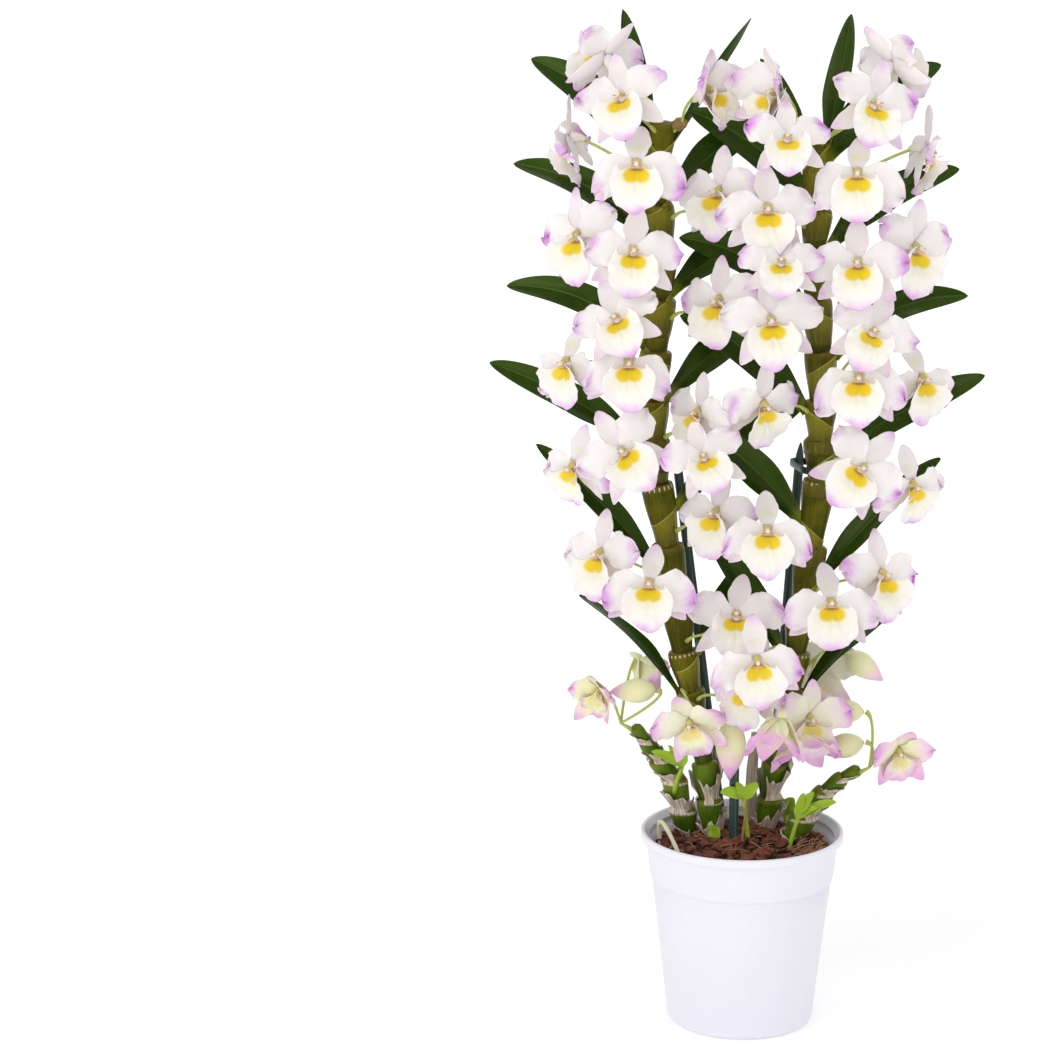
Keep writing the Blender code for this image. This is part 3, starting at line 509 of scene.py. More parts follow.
# The leaves: leathery and glossy, dark green with a paler midrib, in two rows up each cane. Each
# grows from a light green sheath that wraps the joint under it, slit on the far side. Each row
# holds the leaf's height on the cane, its tip's x, y and z, its width, its arch and its turn to the front.
LEFT_LEAVES = [
    (520, -75, 27, 596, 15, -4, 8), (511, -127, 24, 568, 20, 9, 62), (463, -137, 22, 508, 18, 11, 55),
    (401, -141, 22, 437, 17, 12, 50), (346, -151, 20, 392, 17, 4, 55), (268, -124, 24, 343, 15, 5, 40),
    (194, -98, 16, 254, 14, 6, 15),
    (520, -2, 32, 591, 13, -2, 4), (489, 19, 44, 540, 18, 6, 60), (433, 26, 46, 468, 18, 9, 58),
    (371, 27, 46, 422, 18, 9, 58), (306, 33, 41, 366, 18, 7, 58), (218, 16, 58, 281, 15, 5, 40),
]
RIGHT_LEAVES = [
    (519, 55, 27, 594, 15, -4, 8), (510, 106, 24, 566, 20, 9, 62), (459, 118, 22, 507, 18, 11, 55),
    (397, 125, 22, 434, 17, 12, 50), (340, 136, 20, 388, 17, 4, 55), (262, 112, 24, 338, 15, 5, 40),
    (191, 85, 16, 246, 14, 6, 15),
    (517, 4, 44, 567, 13, 3, 4), (489, -36, 12, 540, 20, 8, 66), (429, -41, 8, 468, 19, 9, 64),
    (365, -40, 8, 423, 19, 9, 62), (298, -43, 12, 367, 19, 7, 62), (219, -27, 8, 300, 17, 5, 45),
]
leaf_green = Finish("leaf_green", Roughness=0.28, IOR=1.36, Specular_Tint=rgb(232, 244, 170),
                    Subsurface_Weight=0.05, Subsurface_Radius=(0.3, 0.8, 0.1), Subsurface_Scale=0.003)
across, along, fresh = leaf_green.told("leaf")
mottle = leaf_green.noise(90.0, 3.0)
veins = (across * 44).bent("SINE")
colour = leaf_green.mix(mottle, rgb(20, 38, 2), rgb(42, 66, 6))
# Painted light: the half of each blade on one side of its midrib is a lighter green, as if that half of the
# fold faced the light.
colour = colour.mix(across.rise(-0.05, 0.15) * 0.25, rgb(62, 94, 18))
colour = colour.mix(veins.rise(0.2, 1.0) * 0.06, rgb(92, 128, 52))
colour = colour.mix(abs(across).rise(0.08, 0.02) * 0.22, rgb(104, 134, 60))
colour = colour.mix(along.rise(0.13, 0.0), rgb(138, 150, 40))
leaf_green.feed("Base Color", colour.mix(fresh.rise(0.3, 0.8), rgb(158, 190, 58)))
leaf_green.feed("Roughness", 0.17 + mottle * 0.16)
leaf_green.bump(veins * 0.04 + mottle * 0.7 - abs(across).rise(0.12, 0.0) * 2.0, 0.30, 0.0006)


def bend_at(base, middle, tip, t):
    return base * (1 - t) ** 2 + middle * 2 * t * (1 - t) + tip * t * t


def bowed(base, middle, tip, count):
    """Points along the curve that starts at base, leans towards middle and ends at tip."""
    return [bend_at(base, middle, tip, t) for t in np.linspace(0, 1, count)]


def plain(label, rows, third):
    """What a tube tells its finish when that is the angle's share, the length's share and one number."""
    return lambda row, share: {label: (share, row / rows, third)}


def leaf(mesh, base, tip, width, arch, turn, seed, fresh=0.0, rows=26, cols=11):
    """One leaf in millimetres: folded along its midrib, lance-shaped, a little waved and twisted."""
    chance = random.Random(seed)
    base, tip = Vector(base), Vector(tip)
    axis = (tip - base).normalized()
    sky, viewer = Vector((0, 0, 1)), Vector((0, -1, 0))
    face = sky * cos(radians(turn)) + viewer * sin(radians(turn))
    face = (face - axis * face.dot(axis)).normalized()
    middle = (base + tip) / 2 + (sky - axis * sky.dot(axis)) * arch * 2
    twist = radians(chance.uniform(-14, 14))
    wave, phase = chance.uniform(0.3, 0.8), chance.uniform(0, 6)
    grid, told, thick = [], [], []
    for i in range(rows):
        t = 1 - (1 - i / (rows - 1)) ** 1.25
        spot = bend_at(base, middle, tip, t)
        ahead = bend_at(base, middle, tip, min(t + 0.01, 1.0)) - bend_at(base, middle, tip, t - 0.01)
        ahead.normalize()
        upper = (face - ahead * face.dot(ahead)).normalized()
        upper = Matrix.Rotation(twist * t, 3, ahead) @ upper
        cross = ahead.cross(upper)
        half = width / 2 * (0.34 + 0.80 * ease(t / 0.42)) * max(1 - t ** 3.6, 0.0) ** 0.62
        half = max(half, 0.25)
        fold = 0.34 - 0.16 * t
        line, facts, depth = [], [], []
        for j in range(cols):
            u = sin((j / (cols - 1) * 2 - 1) * pi / 2)
            lift = half * fold * (u * u + 0.35 * abs(u))
            lift += wave * abs(u) ** 3 * sin(9 * t + phase + u) * ease(t * 3)
            line.append((spot + cross * half * u + upper * lift) * MM)
            facts.append((u, t, fresh))
            depth.append((1.0 - 0.45 * abs(u)) * (1.0 - 0.35 * t) * MM)
        grid.append(line)
        told.append(facts)
        thick.append(depth)
    mesh.blade([[tuple(v) for v in row] for row in grid], thick, {"leaf": told})


sheath_green = Finish("sheath_green", Roughness=0.38, IOR=1.38, Specular_Tint=rgb(255, 246, 200))
around, up, dry = sheath_green.told("sheath")
streak = sheath_green.streaks(around * 22, up * 1.2, dry * 5, 4.0)
colour = sheath_green.mix(up.rise(0.1, 1.0), rgb(82, 78, 10), rgb(126, 120, 22))
colour = colour.mix(streak.rise(0.50, 0.75) * 0.5, rgb(154, 148, 46))
colour = colour.mix(up.rise(0.93, 1.0) * 0.8, rgb(176, 180, 84))
papery = sheath_green.mix(streak.rise(0.42, 0.60), rgb(226, 217, 205), rgb(182, 160, 140))
papery = papery.mix((around * 60).bent("SINE").rise(0.55, 0.95) * 0.38, rgb(132, 104, 84))
sheath_green.feed("Base Color", colour.mix(dry.rise(0.3, 0.7), papery))
sheath_green.feed("Roughness", 0.36 + dry.rise(0.3, 0.7) * 0.4)
sheath_green.bump(streak + (around * 60).bent("SINE") * 0.3, 0.35, 0.0005)


def girth(line, width, z):
    """How far a jointed stem's face stands from its centre at height z, millimetres."""
    for low, high in zip(line, line[1:]):
        if z <= high[2]:
            t = (z - low[2]) / (high[2] - low[2])
            return width(z) / 2 * club(t)
    return width(z) / 2


SHEATH_THICKNESS, SHEATH_BELOW, SHEATH_ABOVE = 0.35, 24, 3
LEAF_SEAT = 0.8


def sheath(mesh, line, width, low, high, side, seed, dry=0.0, flare=0.0, slant=0.45, gap=0.15,
           open_deg=340):
    """A thin sheath round a stem from height low to high, longest on one side, slit on the other."""
    chance = random.Random(seed)
    jag = [chance.uniform(-1, 1) for _ in range(40)]
    rows, cols = 9, 30
    grid, told = [], []
    for i in range(rows):
        t = i / (rows - 1)
        ring, facts = [], []
        for j in range(cols):
            share = j / (cols - 1) * 2 - 1
            a = radians(side + share * open_deg / 2)
            top = high - (high - low) * slant * (1 - cos(share * pi * 0.98)) / 2
            top += (high - low) * 0.16 * jag[j] * dry * t
            z = low + (top - low) * t
            middle = on_line(line, z)
            radius = girth(line, width, z) + gap + flare * t ** 2 * (1 + 0.4 * jag[(j * 3) % 40] * dry)
            x, y = middle.x + radius * cos(a), middle.y + radius * sin(a)
            ring.append((x * MM, y * MM, z * MM))
            facts.append((share, t, dry))
        grid.append(ring)
        told.append(facts)
    mesh.blade(grid, SHEATH_THICKNESS * MM, {"sheath": told})


OLD_WRAPS = [(104, 124, 3.0, 0), (128, 155, 3.5, 40)]
for who, line, leaves in (("left", LEFT_LINE, LEFT_LEAVES), ("right", RIGHT_LINE, RIGHT_LEAVES)):
    blades, wraps = Mesh(), Mesh()
    for number, (z, x, y, tip_z, width, arch, turn) in enumerate(leaves):
        root = on_line(line, z)
        side = 1 if x > root.x else -1
        start = Vector((root.x + side * (girth(line, cane_width, z) - LEAF_SEAT), root.y, z))
        leaf(blades, start, (x, y, tip_z), width, arch, turn, seed=number + 10 * len(who))
        bearing = degrees(atan2(y - root.y, x - root.x))
        sheath(wraps, line, cane_width, z - SHEATH_BELOW, z + SHEATH_ABOVE, bearing, seed=number)
    for z, top, flare, bearing in OLD_WRAPS:
        sheath(wraps, line, cane_width, z, top, bearing, dry=1.0, flare=flare, slant=0.5, gap=0.5, seed=z,
               open_deg=300)
    blades.make(f"{who}_leaves", leaf_green, "cane_green", f"cane_{who}")
    wraps.make(f"{who}_sheaths", sheath_green, "cane_green", f"cane_{who}")


# The knobs: the dry brown stubs of old flower stalks, one on the outer side of each tall cane
# where a joint ends, and one at the left cane's top.
def speckled(name, roughness, grain, dark, light, relief=None):
    """A finish of two colours mixed by a fine noise, which is its relief too where that is given."""
    finish = Finish(name, Roughness=roughness)
    spots = finish.noise(*grain)
    finish.feed("Base Color", finish.mix(spots, rgb(*dark), rgb(*light)))
    if relief:
        finish.bump(spots, *relief)
    return finish


stub_brown = speckled("stub_brown", 0.75, (260.0, 4.0), (92, 66, 26), (178, 150, 88), (0.7, 0.0008))
# One whole turn in radians, for the ribs and wrinkles round a tube.
CIRCLE = 6.283
KNOBS = [("left", LEFT_LINE, -1, 320), ("right", RIGHT_LINE, 1, 315), ("top", LEFT_LINE, 1, 531)]
for who, line, hand, z in KNOBS:
    knob = Mesh()
    root = on_line(line, z)
    start = root + Vector((hand * (cane_width(z) / 2 - 1.5), -3.0, 0))
    spots = [start + Vector((hand * 1.6 * k, -0.7 * k, 0.5 * k)) for k in range(6)]
    knob.tube(spots, [2.6, 3.3, 3.9, 3.6, 2.7, 1.2], 14, plain("joint", 5, 0),
              section=lambda row, share: 1 + 0.10 * sin(share * CIRCLE * 3 + row * 1.9))
    knob.make(f"{who}_knob", stub_brown, "cane_green")


# The blooms: thin white waxy petals with a lilac blush at their tips, and a broad round lip with
# a two-lobed yellow patch under the short column. Each hangs on a pale stalk from a cane's joint.
BLOOM_SPAN = 54.0
HALF_OPEN = 100.0
PETAL_THICKNESS = 0.40
HUB = 0.03
BUD_FOLD = 0.65
STALK_SEAT, NECK_OUT, NECK_UP = 0.6, 6.5, 4
PETAL, SEPAL, LIP, COLUMN, SHADE_PLATE, STALK = 0, 1, 2, 3, 3.45, 4
petal_white = Finish("petal_white", Roughness=0.48, Sheen_Weight=0.08, Subsurface_Weight=0.28,
                     Subsurface_Radius=(1.0, 0.85, 0.95), Subsurface_Scale=0.0025)
x, y, z = petal_white.told("place")
across, along, kind = petal_white.told("blade")
young, chance, fold = petal_white.told("bloom")
is_sepal = 1 - abs(kind - SEPAL).rise(0.3, 0.6)
is_lip = 1 - abs(kind - LIP).rise(0.3, 0.6)
is_column = 1 - abs(kind - COLUMN).rise(0.1, 0.3)
is_shade_plate = 1 - abs(kind - SHADE_PLATE).rise(0.1, 0.2)
is_stalk = kind.rise(STALK - 0.3, STALK - 0.1)
is_petal = 1 - kind.rise(0.3, 0.6)
drift = petal_white.noise(120.0, 3.0)
vein = abs((across * (20 + along * 6)).bent("SINE")) ** 5
blush = petal_white.mix(drift, rgb(210, 126, 218), rgb(226, 162, 232))
base = petal_white.mix(drift, rgb(250, 245, 243), rgb(239, 230, 231))
base = base.mix(is_sepal * 0.6, rgb(240, 228, 230))
base = base.mix(vein * along * 0.03, rgb(212, 190, 216))
reachers = along + drift * 0.40 - across * across * 0.06 + vein * 0.04
tips = reachers.rise(0.86, 1.18)
tips = tips * (is_petal + is_sepal * 0.6) * (chance * 0.5 + 0.5)
tips = tips * petal_white.noise(34.0, 1.0).rise(0.34, 0.52)
margin = (abs(across) + drift * 0.4).rise(0.95, 1.4) * is_petal * along * 0.12
lip_tip = (along + drift * 0.30).rise(0.90, 1.20) * abs(across).rise(0.30, 0.02)
lip_edge = (along + drift * 0.25).rise(1.02, 1.22) * 0.20
pink = (tips + margin + (lip_tip * 0.85 + lip_edge) * is_lip).bent("MINIMUM", 1.0)
base = base.mix(pink, blush)


def lobe(cx, cy, wide, tall, soft):
    """1 inside an oval round (cx, cy) of a bloom's face, 0 outside, soft and a little ragged between."""
    far = (((x - cx) / wide) ** 2 + ((y - cy) / tall) ** 2).bent("SQRT")
    return (far + drift * 0.16).rise(1.08 + soft, 1.08 - soft)


streaks = abs((across * 34).bent("SINE")) ** 2
glow = lobe(0.0, -0.19, 0.21, 0.17, 0.55) * is_lip
patch = lobe(-0.056, -0.125, 0.084, 0.076, 0.26).bent("MAXIMUM", lobe(0.056, -0.125, 0.084, 0.076, 0.26))
patch = patch.bent("MAXIMUM", lobe(0.0, -0.100, 0.11, 0.064, 0.24))
patch = patch * is_lip * (1 - young * 0.45)
base = base.mix(glow * (0.34 + streaks * 0.14), rgb(248, 247, 190))
base = base.mix(patch, petal_white.mix(drift, rgb(246, 212, 8), rgb(232, 194, 14)))
# Painted shadow: a brown line across the base of the lip, just under the column.
throat_shadow = lobe(0.0, -0.070, 0.075, 0.020, 0.3) * is_lip
base = base.mix(throat_shadow * 0.7, rgb(176, 120, 92))
cap = petal_white.mix(along.rise(0.50, 0.80), rgb(206, 190, 112), rgb(238, 222, 206))
base = base.mix(is_column, cap)
# Painted shade: the plate under the column's cap is brown-pink, standing for the shade beneath the cap.
base = base.mix(is_shade_plate, rgb(208, 170, 140))
green = petal_white.mix(drift, rgb(196, 204, 108), rgb(172, 186, 84))
base = base.mix(is_stalk, green)
behind = z.rise(-0.05, -0.14) * (x * x + y * y).rise(0.04, 0.02) * (1 - is_stalk) * 0.5
base = base.mix(behind, rgb(222, 226, 160))
ripe = along + drift * 0.3 + chance * 0.3
cream = petal_white.mix(ripe.rise(0.72, 1.20), rgb(238, 239, 180), rgb(240, 184, 220))
cream = cream.mix(vein * 0.14, rgb(226, 204, 168))
cream = cream.mix((along + drift * 0.4).rise(0.88, 1.20) * 0.7, rgb(220, 140, 216))
base = base.mix(young * (1 - is_stalk) * (1 - is_column) * (1 - patch) * 0.85, cream)
petal_white.feed("Base Color", base)
petal_white.feed("Roughness", 0.42 + drift * 0.16)
petal_white.bump(drift * 0.6 + vein * 0.10 + petal_white.noise(900.0, 2.0) * 0.35, 0.25, 0.0004)


def facing(place, azimuth, elevation, roll):
    """A bloom's own frame: z out of its face, y up along its upper sepal."""
    a, e = radians(azimuth), radians(elevation)
    out = Vector((sin(a) * cos(e), -cos(a) * cos(e), sin(e)))
    right = Vector((cos(a), sin(a), 0))
    turn = Matrix((right, out.cross(right), out)).transposed().to_4x4()
    return Matrix.Translation(Vector(place)) @ turn @ Matrix.Rotation(radians(roll), 4, "Z")


def petal_outline(t):
    return (0.30 + 0.70 * ease(t / 0.50)) * max(1 - t ** 5.2, 0.0) ** 0.52


def sepal_outline(t):
    return (0.50 + 0.50 * ease(t / 0.52)) * max(1 - t ** 3.0, 0.0) ** 0.60


def side_outline(t):
    return (0.80 + 0.20 * ease(t / 0.30)) * max(1 - t ** 2.4, 0.0) ** 0.72


def bloom(mesh, place, azimuth, elevation, roll, size, fold, droop, young, seed):
    """One bloom: three sepals, two waved petals, the lip and the column, all in its own frame."""
    chance = random.Random(seed)
    span = BLOOM_SPAN * size
    turn = facing(place, azimuth, elevation, roll)
    spin = np.array(turn.to_3x3())
    middle = np.array(turn.translation)
    tone = (young, chance.random(), fold)

    def add(grid, told, rows, cols):
        grid = np.array(grid).reshape(rows, cols, 3)
        world = (grid * span) @ spin.T + middle
        tones = np.tile(tone, (rows * cols, 1))
        mesh.blade(world * MM, PETAL_THICKNESS * MM, {"place": grid, "blade": told, "bloom": tones})

    def sail(angle, reach, width, outline, kind, rows, cols, rise, cup, ruffle, pleat,
             widening=0.75, back=0.0, lean=0.0, sweep=0.0):
        """A petal or sepal: a waved blade that runs out from the hub at an angle in degrees."""
        a = radians(angle + chance.uniform(-5, 5))
        out = np.array((cos(a), sin(a), 0.0))
        side = np.array((-out[1], out[0], 0.0))
        ahead = np.array((0.0, 0.0, 1.0))
        reach *= chance.uniform(0.95, 1.03)
        width *= chance.uniform(0.94, 1.06) * (1 + widening * fold)
        bow = radians(HALF_OPEN) * fold - radians(lean)
        ruffle *= 1 - 0.6 * fold
        curl = chance.uniform(-0.05, 0.05)
        bend = chance.uniform(-0.04, 0.04) + sweep
        tilt = chance.uniform(-0.35, 0.35)
        phase = [chance.uniform(0, 6.28) for _ in range(5)]
        grid, told = [], []
        for i in range(rows):
            t = 1 - (1 - i / (rows - 1)) ** 1.5
            beyond = (reach - HUB) * t
            lift = rise[0] * 4 * t * (1 - t) + (rise[1] + curl) * t * t - back
            spine = out * (HUB + beyond * cos(bow)) + ahead * (lift + beyond * sin(bow))
            spine = spine + side * bend * t * t
            half = max(width / 2 * outline(t), 0.004)
            for j in range(cols):
                u = sin((j / (cols - 1) * 2 - 1) * pi / 2)
                edge = abs(u) ** 3 * ease(t * 2.2)
                wave = ruffle * edge * (sin(8 * t + phase[0] + (2.4 if u > 0 else 0))
                                        + 0.55 * sin(19 * t + phase[1] + u))
                end_wave = 0.9 * sin(4.2 * u + phase[2]) + 0.5 * sin(9 * u)
                wave += ruffle * ease((t - 0.66) * 3) * end_wave
                frill = 1 + 0.035 * sin(17 * t + phase[3] + (1.9 if u > 0 else 0)) * abs(u) ** 4
                frill += 0.018 * sin(41 * t + phase[4]) * abs(u) ** 6
                dish = cup * (u * u - 0.3) * half * 2 + tilt * u * half * t
                groove = -pleat * exp(-(u / 0.16) ** 2) * (1 - 0.6 * t)
                groove += pleat * 0.35 * cos(u * 17) * (1 - abs(u)) * ease(t * 3)
                notch = 0.018 * cos(3.1 * u + phase[2]) * ease((t - 0.75) * 4) * (ruffle > 0.01)
                grid.append(spine + side * half * u * frill + out * notch + ahead * (dish + wave + groove))
                told.append((u, t, kind))
        add(grid, told, rows, cols)

    for angle in (-46, 226):
        sail(angle, 0.57, 0.27, side_outline, SEPAL, 13, 9, (-0.02, 0.02), 0.10, 0.006, 0.006, back=0.020)
    sail(90, 0.50 - droop * 0.0012, 0.275, sepal_outline, SEPAL, 14, 9, (-0.02, -0.03), 0.14, 0.006, 0.006,
         back=0.014, lean=droop * 1.15)
    lift = 22 - droop
    for hand, angle in ((-1, lift), (1, 180 - lift)):
        sail(angle, 0.52, 0.42, petal_outline, PETAL, 20, 17, (0.035, -0.02), -0.05, 0.040, 0.008,
             widening=0.30, sweep=hand * (0.07 + droop * 0.0030))

    # The lip: a scoop that opens into a broad round apron, its rim frilled and its front turned down.
    shut = 1 - 0.45 * fold
    phase = [chance.uniform(0, 6.28) for _ in range(4)]
    rows, cols = 20, 41
    grid, told = [], []
    for i in range(rows):
        v = 1 - (1 - i / (rows - 1)) ** 1.15
        r = 0.046 + 0.232 * v ** 0.9
        drop = -0.020 - 0.195 * v
        deep = 0.020 + 0.190 * sin(min(1.45 * v ** 0.85, 1.57))
        spread = radians(80 + 66 * v)
        for j in range(cols):
            u = j / (cols - 1) * 2 - 1
            s = spread * u
            low = max(cos(s), 0.0)
            rim = ease((v - 0.62) * 2.7)
            frill = rim * (sin(9 * u + phase[0]) * 0.9 + 0.6 * sin(21 * u + phase[1])
                           + 0.25 * sin(55 * u + phase[2]))
            swell = 0.020 * exp(-((abs(u) - 0.15) / 0.10) ** 2 - ((v - 0.42) / 0.20) ** 2)
            point = 0.034 * v ** 6 * exp(-(u / 0.13) ** 2)
            fall = -0.085 * ease((v - 0.45) * 1.9) * low ** 1.5
            wing = 0.035 * abs(u) ** 2 * v
            r_edge = r * (1 + 0.036 * frill) + point
            grid.append((r_edge * sin(s) * shut, (drop - r_edge * cos(s)) * shut,
                         deep + fall + wing + 0.022 * frill + swell + 0.006 * v * sin(31 * u + phase[3])))
            told.append((u, v, LIP))
    add(grid, told, rows, cols)

    def limb(points, radii, kind, sides=10):
        spots = [turn @ (Vector(p) * span) for p in points]
        count = len(points) - 1
        mesh.tube(spots, [r * span for r in radii], sides, lambda row, share: {
            "place": tuple(points[row]), "blade": (share * 2 - 1, row / count, kind), "bloom": tone})

    # The column, the plate under its cap, brown-pink as painted shade beneath the cap, its two small arms,
    # and the spur behind the bloom.
    limb([(0, 0.018, -0.01), (0, 0.020, 0.03), (0, 0.012, 0.07), (0, 0.004, 0.095), (0, -0.002, 0.115),
          (0, -0.006, 0.135), (0, -0.010, 0.146)],
         [0.030, 0.038, 0.031, 0.027, 0.027, 0.020, 0.006], COLUMN)
    limb([(-0.050, -0.048, 0.118), (-0.034, -0.043, 0.126), (0, -0.040, 0.130), (0.034, -0.043, 0.126),
          (0.050, -0.048, 0.118)], [0.005, 0.009, 0.010, 0.009, 0.005], SHADE_PLATE, 8)
    for hand in (-1, 1):
        limb([(0.030 * hand, 0.0, 0.10), (0.056 * hand, 0.006, 0.118), (0.070 * hand, -0.014, 0.126)],
             [0.011, 0.007, 0.003], COLUMN, 6)
    limb([(0, 0.03, 0.01), (0, 0.0, -0.03), (0, -0.04, -0.09), (0, -0.075, -0.15), (0, -0.09, -0.18)],
         [0.012, 0.060, 0.056, 0.034, 0.010], SEPAL)
    return turn


def bud(mesh, place, azimuth, elevation, roll, size, young, seed):
    """A shut bud: overlapping sepals round a long pointed body, with shallow seams."""
    span = BLOOM_SPAN * size
    turn = facing(place, azimuth, elevation, roll)
    tone = (young, random.Random(seed).random(), 1.0)
    rows, sides = 15, 24
    points, radii = [], []
    for i in range(rows):
        t = i / (rows - 1)
        points.append(turn @ (Vector((0.012 * sin(3 * t), 0, -0.01 + 0.63 * t)) * span))
        radii.append(span * (0.012 + 0.148 * sin(pi * min(t * 1.02, 1.0) ** 0.78) ** 0.85))

    def tell(row, share):
        seam = abs((share * 3 + 0.25 * row / rows) % 1.0 - 0.5)
        return {"place": (0, 0, 0.3), "blade": (1 - 2 * seam, row / (rows - 1), SEPAL), "bloom": tone}
    mesh.tube(points, radii, sides, tell)
    return turn


def stalk(mesh, foot, neck, turn, size, first):
    """The pale stalk from the joint, and the bloom's own stalk that thickens into its ovary."""
    tone = (0.0, 0.5, 0.0)
    end = turn @ Vector((0, 0, -1.5))
    behind = turn @ Vector((0, -4, (-17 if first else -10) * size))
    points = bowed(neck, behind, end, 11)
    radii = [0.85 + 0.9 * ease((t - 0.62) * 2.6) for t in np.linspace(0, 1, 11)]
    if first:
        points = [foot, foot.lerp(neck, 0.5)] + points
        radii = [1.6, 1.2] + radii
    count = len(points) - 1
    mesh.tube(points, radii, 8, lambda row, share: {
        "place": (0, 0, 0), "blade": (share * 2 - 1, row / count, STALK), "bloom": tone})


def spray(name, line, width, z, side, blooms, young, slot):
    """All blooms of one short spray on their stalks, as one piece in place of its node."""
    mesh = Mesh()
    centre = on_line(line, z)
    reach = Vector((cos(radians(side)), sin(radians(side)), 0))
    foot = centre + reach * (width(z) / 2 - STALK_SEAT)
    neck = foot + reach * NECK_OUT + Vector((0, 0, NECK_UP))
    for number, (bx, by, bz, azimuth, elevation, roll, size, fold, droop) in enumerate(blooms):
        seed = f"{name}{number}"
        tint = young * min(1.0, 0.35 + fold * 1.6)
        if fold >= BUD_FOLD:
            turn = bud(mesh, (bx, by, bz), azimuth, elevation, roll, size, tint, seed)
        else:
            turn = bloom(mesh, (bx, by, bz), azimuth, elevation, roll, size, fold, droop, tint, seed)
        stalk(mesh, foot, neck, turn, size, number == 0)
    mesh.make(name.replace("spray", "blooms"), petal_white, slot, name)


# Each row holds the height of the spray's foot on its cane, its bearing and its blooms. A bloom has
# its x, y and z, azimuth, elevation and roll, size, how far it is shut, and its petals' droop.
OUTER_SPRAYS = [
    (528, 235, [(-83, -4, 572, -135, 25, 20, 0.92, 0, 0), (-73, -28, 552, -22, 18, 20, 0.96, 0, 0)]),
    (501, 215, [(-64, -42, 517, 0, 2, 0, 1.00, 0, 36), (-104, 4, 525, -100, -28, 0, 0.95, 0, 20)]),
    (452, 215, [(-98, -6, 471, -38, 2, 14, 1.02, 0, 0), (-66, -30, 466, 6, 10, -4, 0.98, 0, 12)]),
    (393, 217, [(-75, -34, 428, -12, 22, 28, 0.92, 0, 0), (-104, -4, 398, -38, -6, 6, 0.95, 0, 36),
                (-68, -34, 403, 4, 6, 0, 1.00, 0, 36)]),
    (342, 225, [(-71, -30, 351, -6, 10, 42, 0.98, 0, 0), (-100, -8, 338, -42, -22, -8, 0.90, 0, 28)]),
    (266, 215, [(-84, -6, 285, -40, 4, 8, 1.00, 0, 12), (-55, -30, 274, -4, 8, 0, 1.00, 0, 30)]),
]
LEFT_INNER_SPRAYS = [
    (528, 330, [(-27, -2, 553, 58, 12, 0, 1.00, 0.35, 0)]),
    (478, 325, [(-18, -8, 497, -36, 4, 6, 1.00, 0, 8)]),
    (420, 325, [(-17, -10, 435, -34, 2, 6, 1.00, 0, 8)]),
    (350, 325, [(-25, -40, 350, 0, 26, 22, 0.86, 0, 0), (-28, -17, 372, -46, -4, 0, 0.86, 0, 10)]),
    (294, 325, [(-17, -12, 312, -36, 4, 6, 0.98, 0, 12)]),
    (228, 300, [(-5, -14, 251, 0, 26, 0, 1.00, 0, 5)]),
]
RIGHT_INNER_SPRAYS = [
    (524, 210, [(14, -12, 553, -58, 12, 0, 1.00, 0.35, 0), (19, -43, 531, 4, 28, 0, 0.86, 0, 0)]),
    (474, 215, [(9, -32, 491, 4, 4, 0, 0.98, 0, 12), (17, -44, 462, 0, 30, 0, 0.84, 0, 0)]),
    (416, 215, [(12, -34, 428, 4, 6, 4, 1.00, 0, 5)]),
    (366, 215, [(8, -22, 378, 38, -20, 0, 0.92, 0, 10)]),
    (292, 215, [(12, -36, 308, 0, 4, 0, 1.00, 0, 34)]),
    (222, 215, [(7, -54, 236, 6, -6, 6, 1.00, 0, 30), (2, -22, 210, -30, -6, 0, 0.90, 0, 20)]),
]
MIRROR_X, MIRROR_Z_DROP, MIRROR_Z_SLOPE, MIRROR_TOP, MIRROR_FOOT_DROP = -6.0, 3.0, 0.023, 567.0, 6
mirrored = []
for z, side, blooms in OUTER_SPRAYS:
    other_hand = []
    for bx, by, bz, azimuth, elevation, roll, *rest in blooms:
        lower = bz - MIRROR_Z_DROP - MIRROR_Z_SLOPE * (MIRROR_TOP - bz)
        other_hand.append((MIRROR_X - bx, by, lower, -azimuth, elevation, -roll, *rest))
    mirrored.append((z - MIRROR_FOOT_DROP, 180 - side, other_hand))
for who, line, outer, inner in (("left", LEFT_LINE, OUTER_SPRAYS, LEFT_INNER_SPRAYS),
                                ("right", RIGHT_LINE, mirrored, RIGHT_INNER_SPRAYS)):
    for group, rows in (("outer", outer), ("inner", inner)):
        for number, (z, side, blooms) in enumerate(rows, 1):
            spray(f"spray_{who}_{group}_{number}", line, cane_width, z, side, blooms, 0.0, "petal_white")


# The two short old canes: leafless, of short green joints, each ringed by a papery dry sheath
# that frays into a fan. They carry young blooms at their tips.
SHORT_LEFT_LINE = [
    (-31, 21, 106), (-36, 20, 122), (-41, 18, 141), (-51, 15, 155), (-58, 12, 167), (-64, 10, 175)]
SHORT_RIGHT_LINE = [(28, 10, 106), (37, 11, 122), (49, 12, 137), (59, 12, 146), (68, 12, 151)]


def tapering(line, widths):
    heights = [p[2] for p in line]
    return lambda z: float(np.interp(z, heights, widths))


left_width = tapering(SHORT_LEFT_LINE, [13, 15, 14, 12, 9, 7])
right_width = tapering(SHORT_RIGHT_LINE, [14, 15, 12, 9, 7])
for who, line, width in (("left", SHORT_LEFT_LINE, left_width), ("right", SHORT_RIGHT_LINE, right_width)):
    stem, sleeves = Mesh(), Mesh()
    joints(stem, line, width, rows=7, sides=24, aged=lambda z: 1.0)
    stem.make(f"short_{who}_cane", cane_olive, "old_cane_green", f"short_cane_{who}")
    for number, (low, high) in enumerate(zip(line, line[1:])):
        top = low[2] + (high[2] - low[2]) * (0.58 if number % 2 else 0.46)
        sheath(sleeves, line, width, low[2] - 2.0, top, 120 + 97 * number, dry=1.0,
               flare=1.8 + 0.5 * (number % 3), slant=0.35, gap=0.4, seed=number + 50, open_deg=320)
    sleeves.make(f"short_{who}_sleeves", sheath_green, "dry_sheath", f"short_cane_{who}")


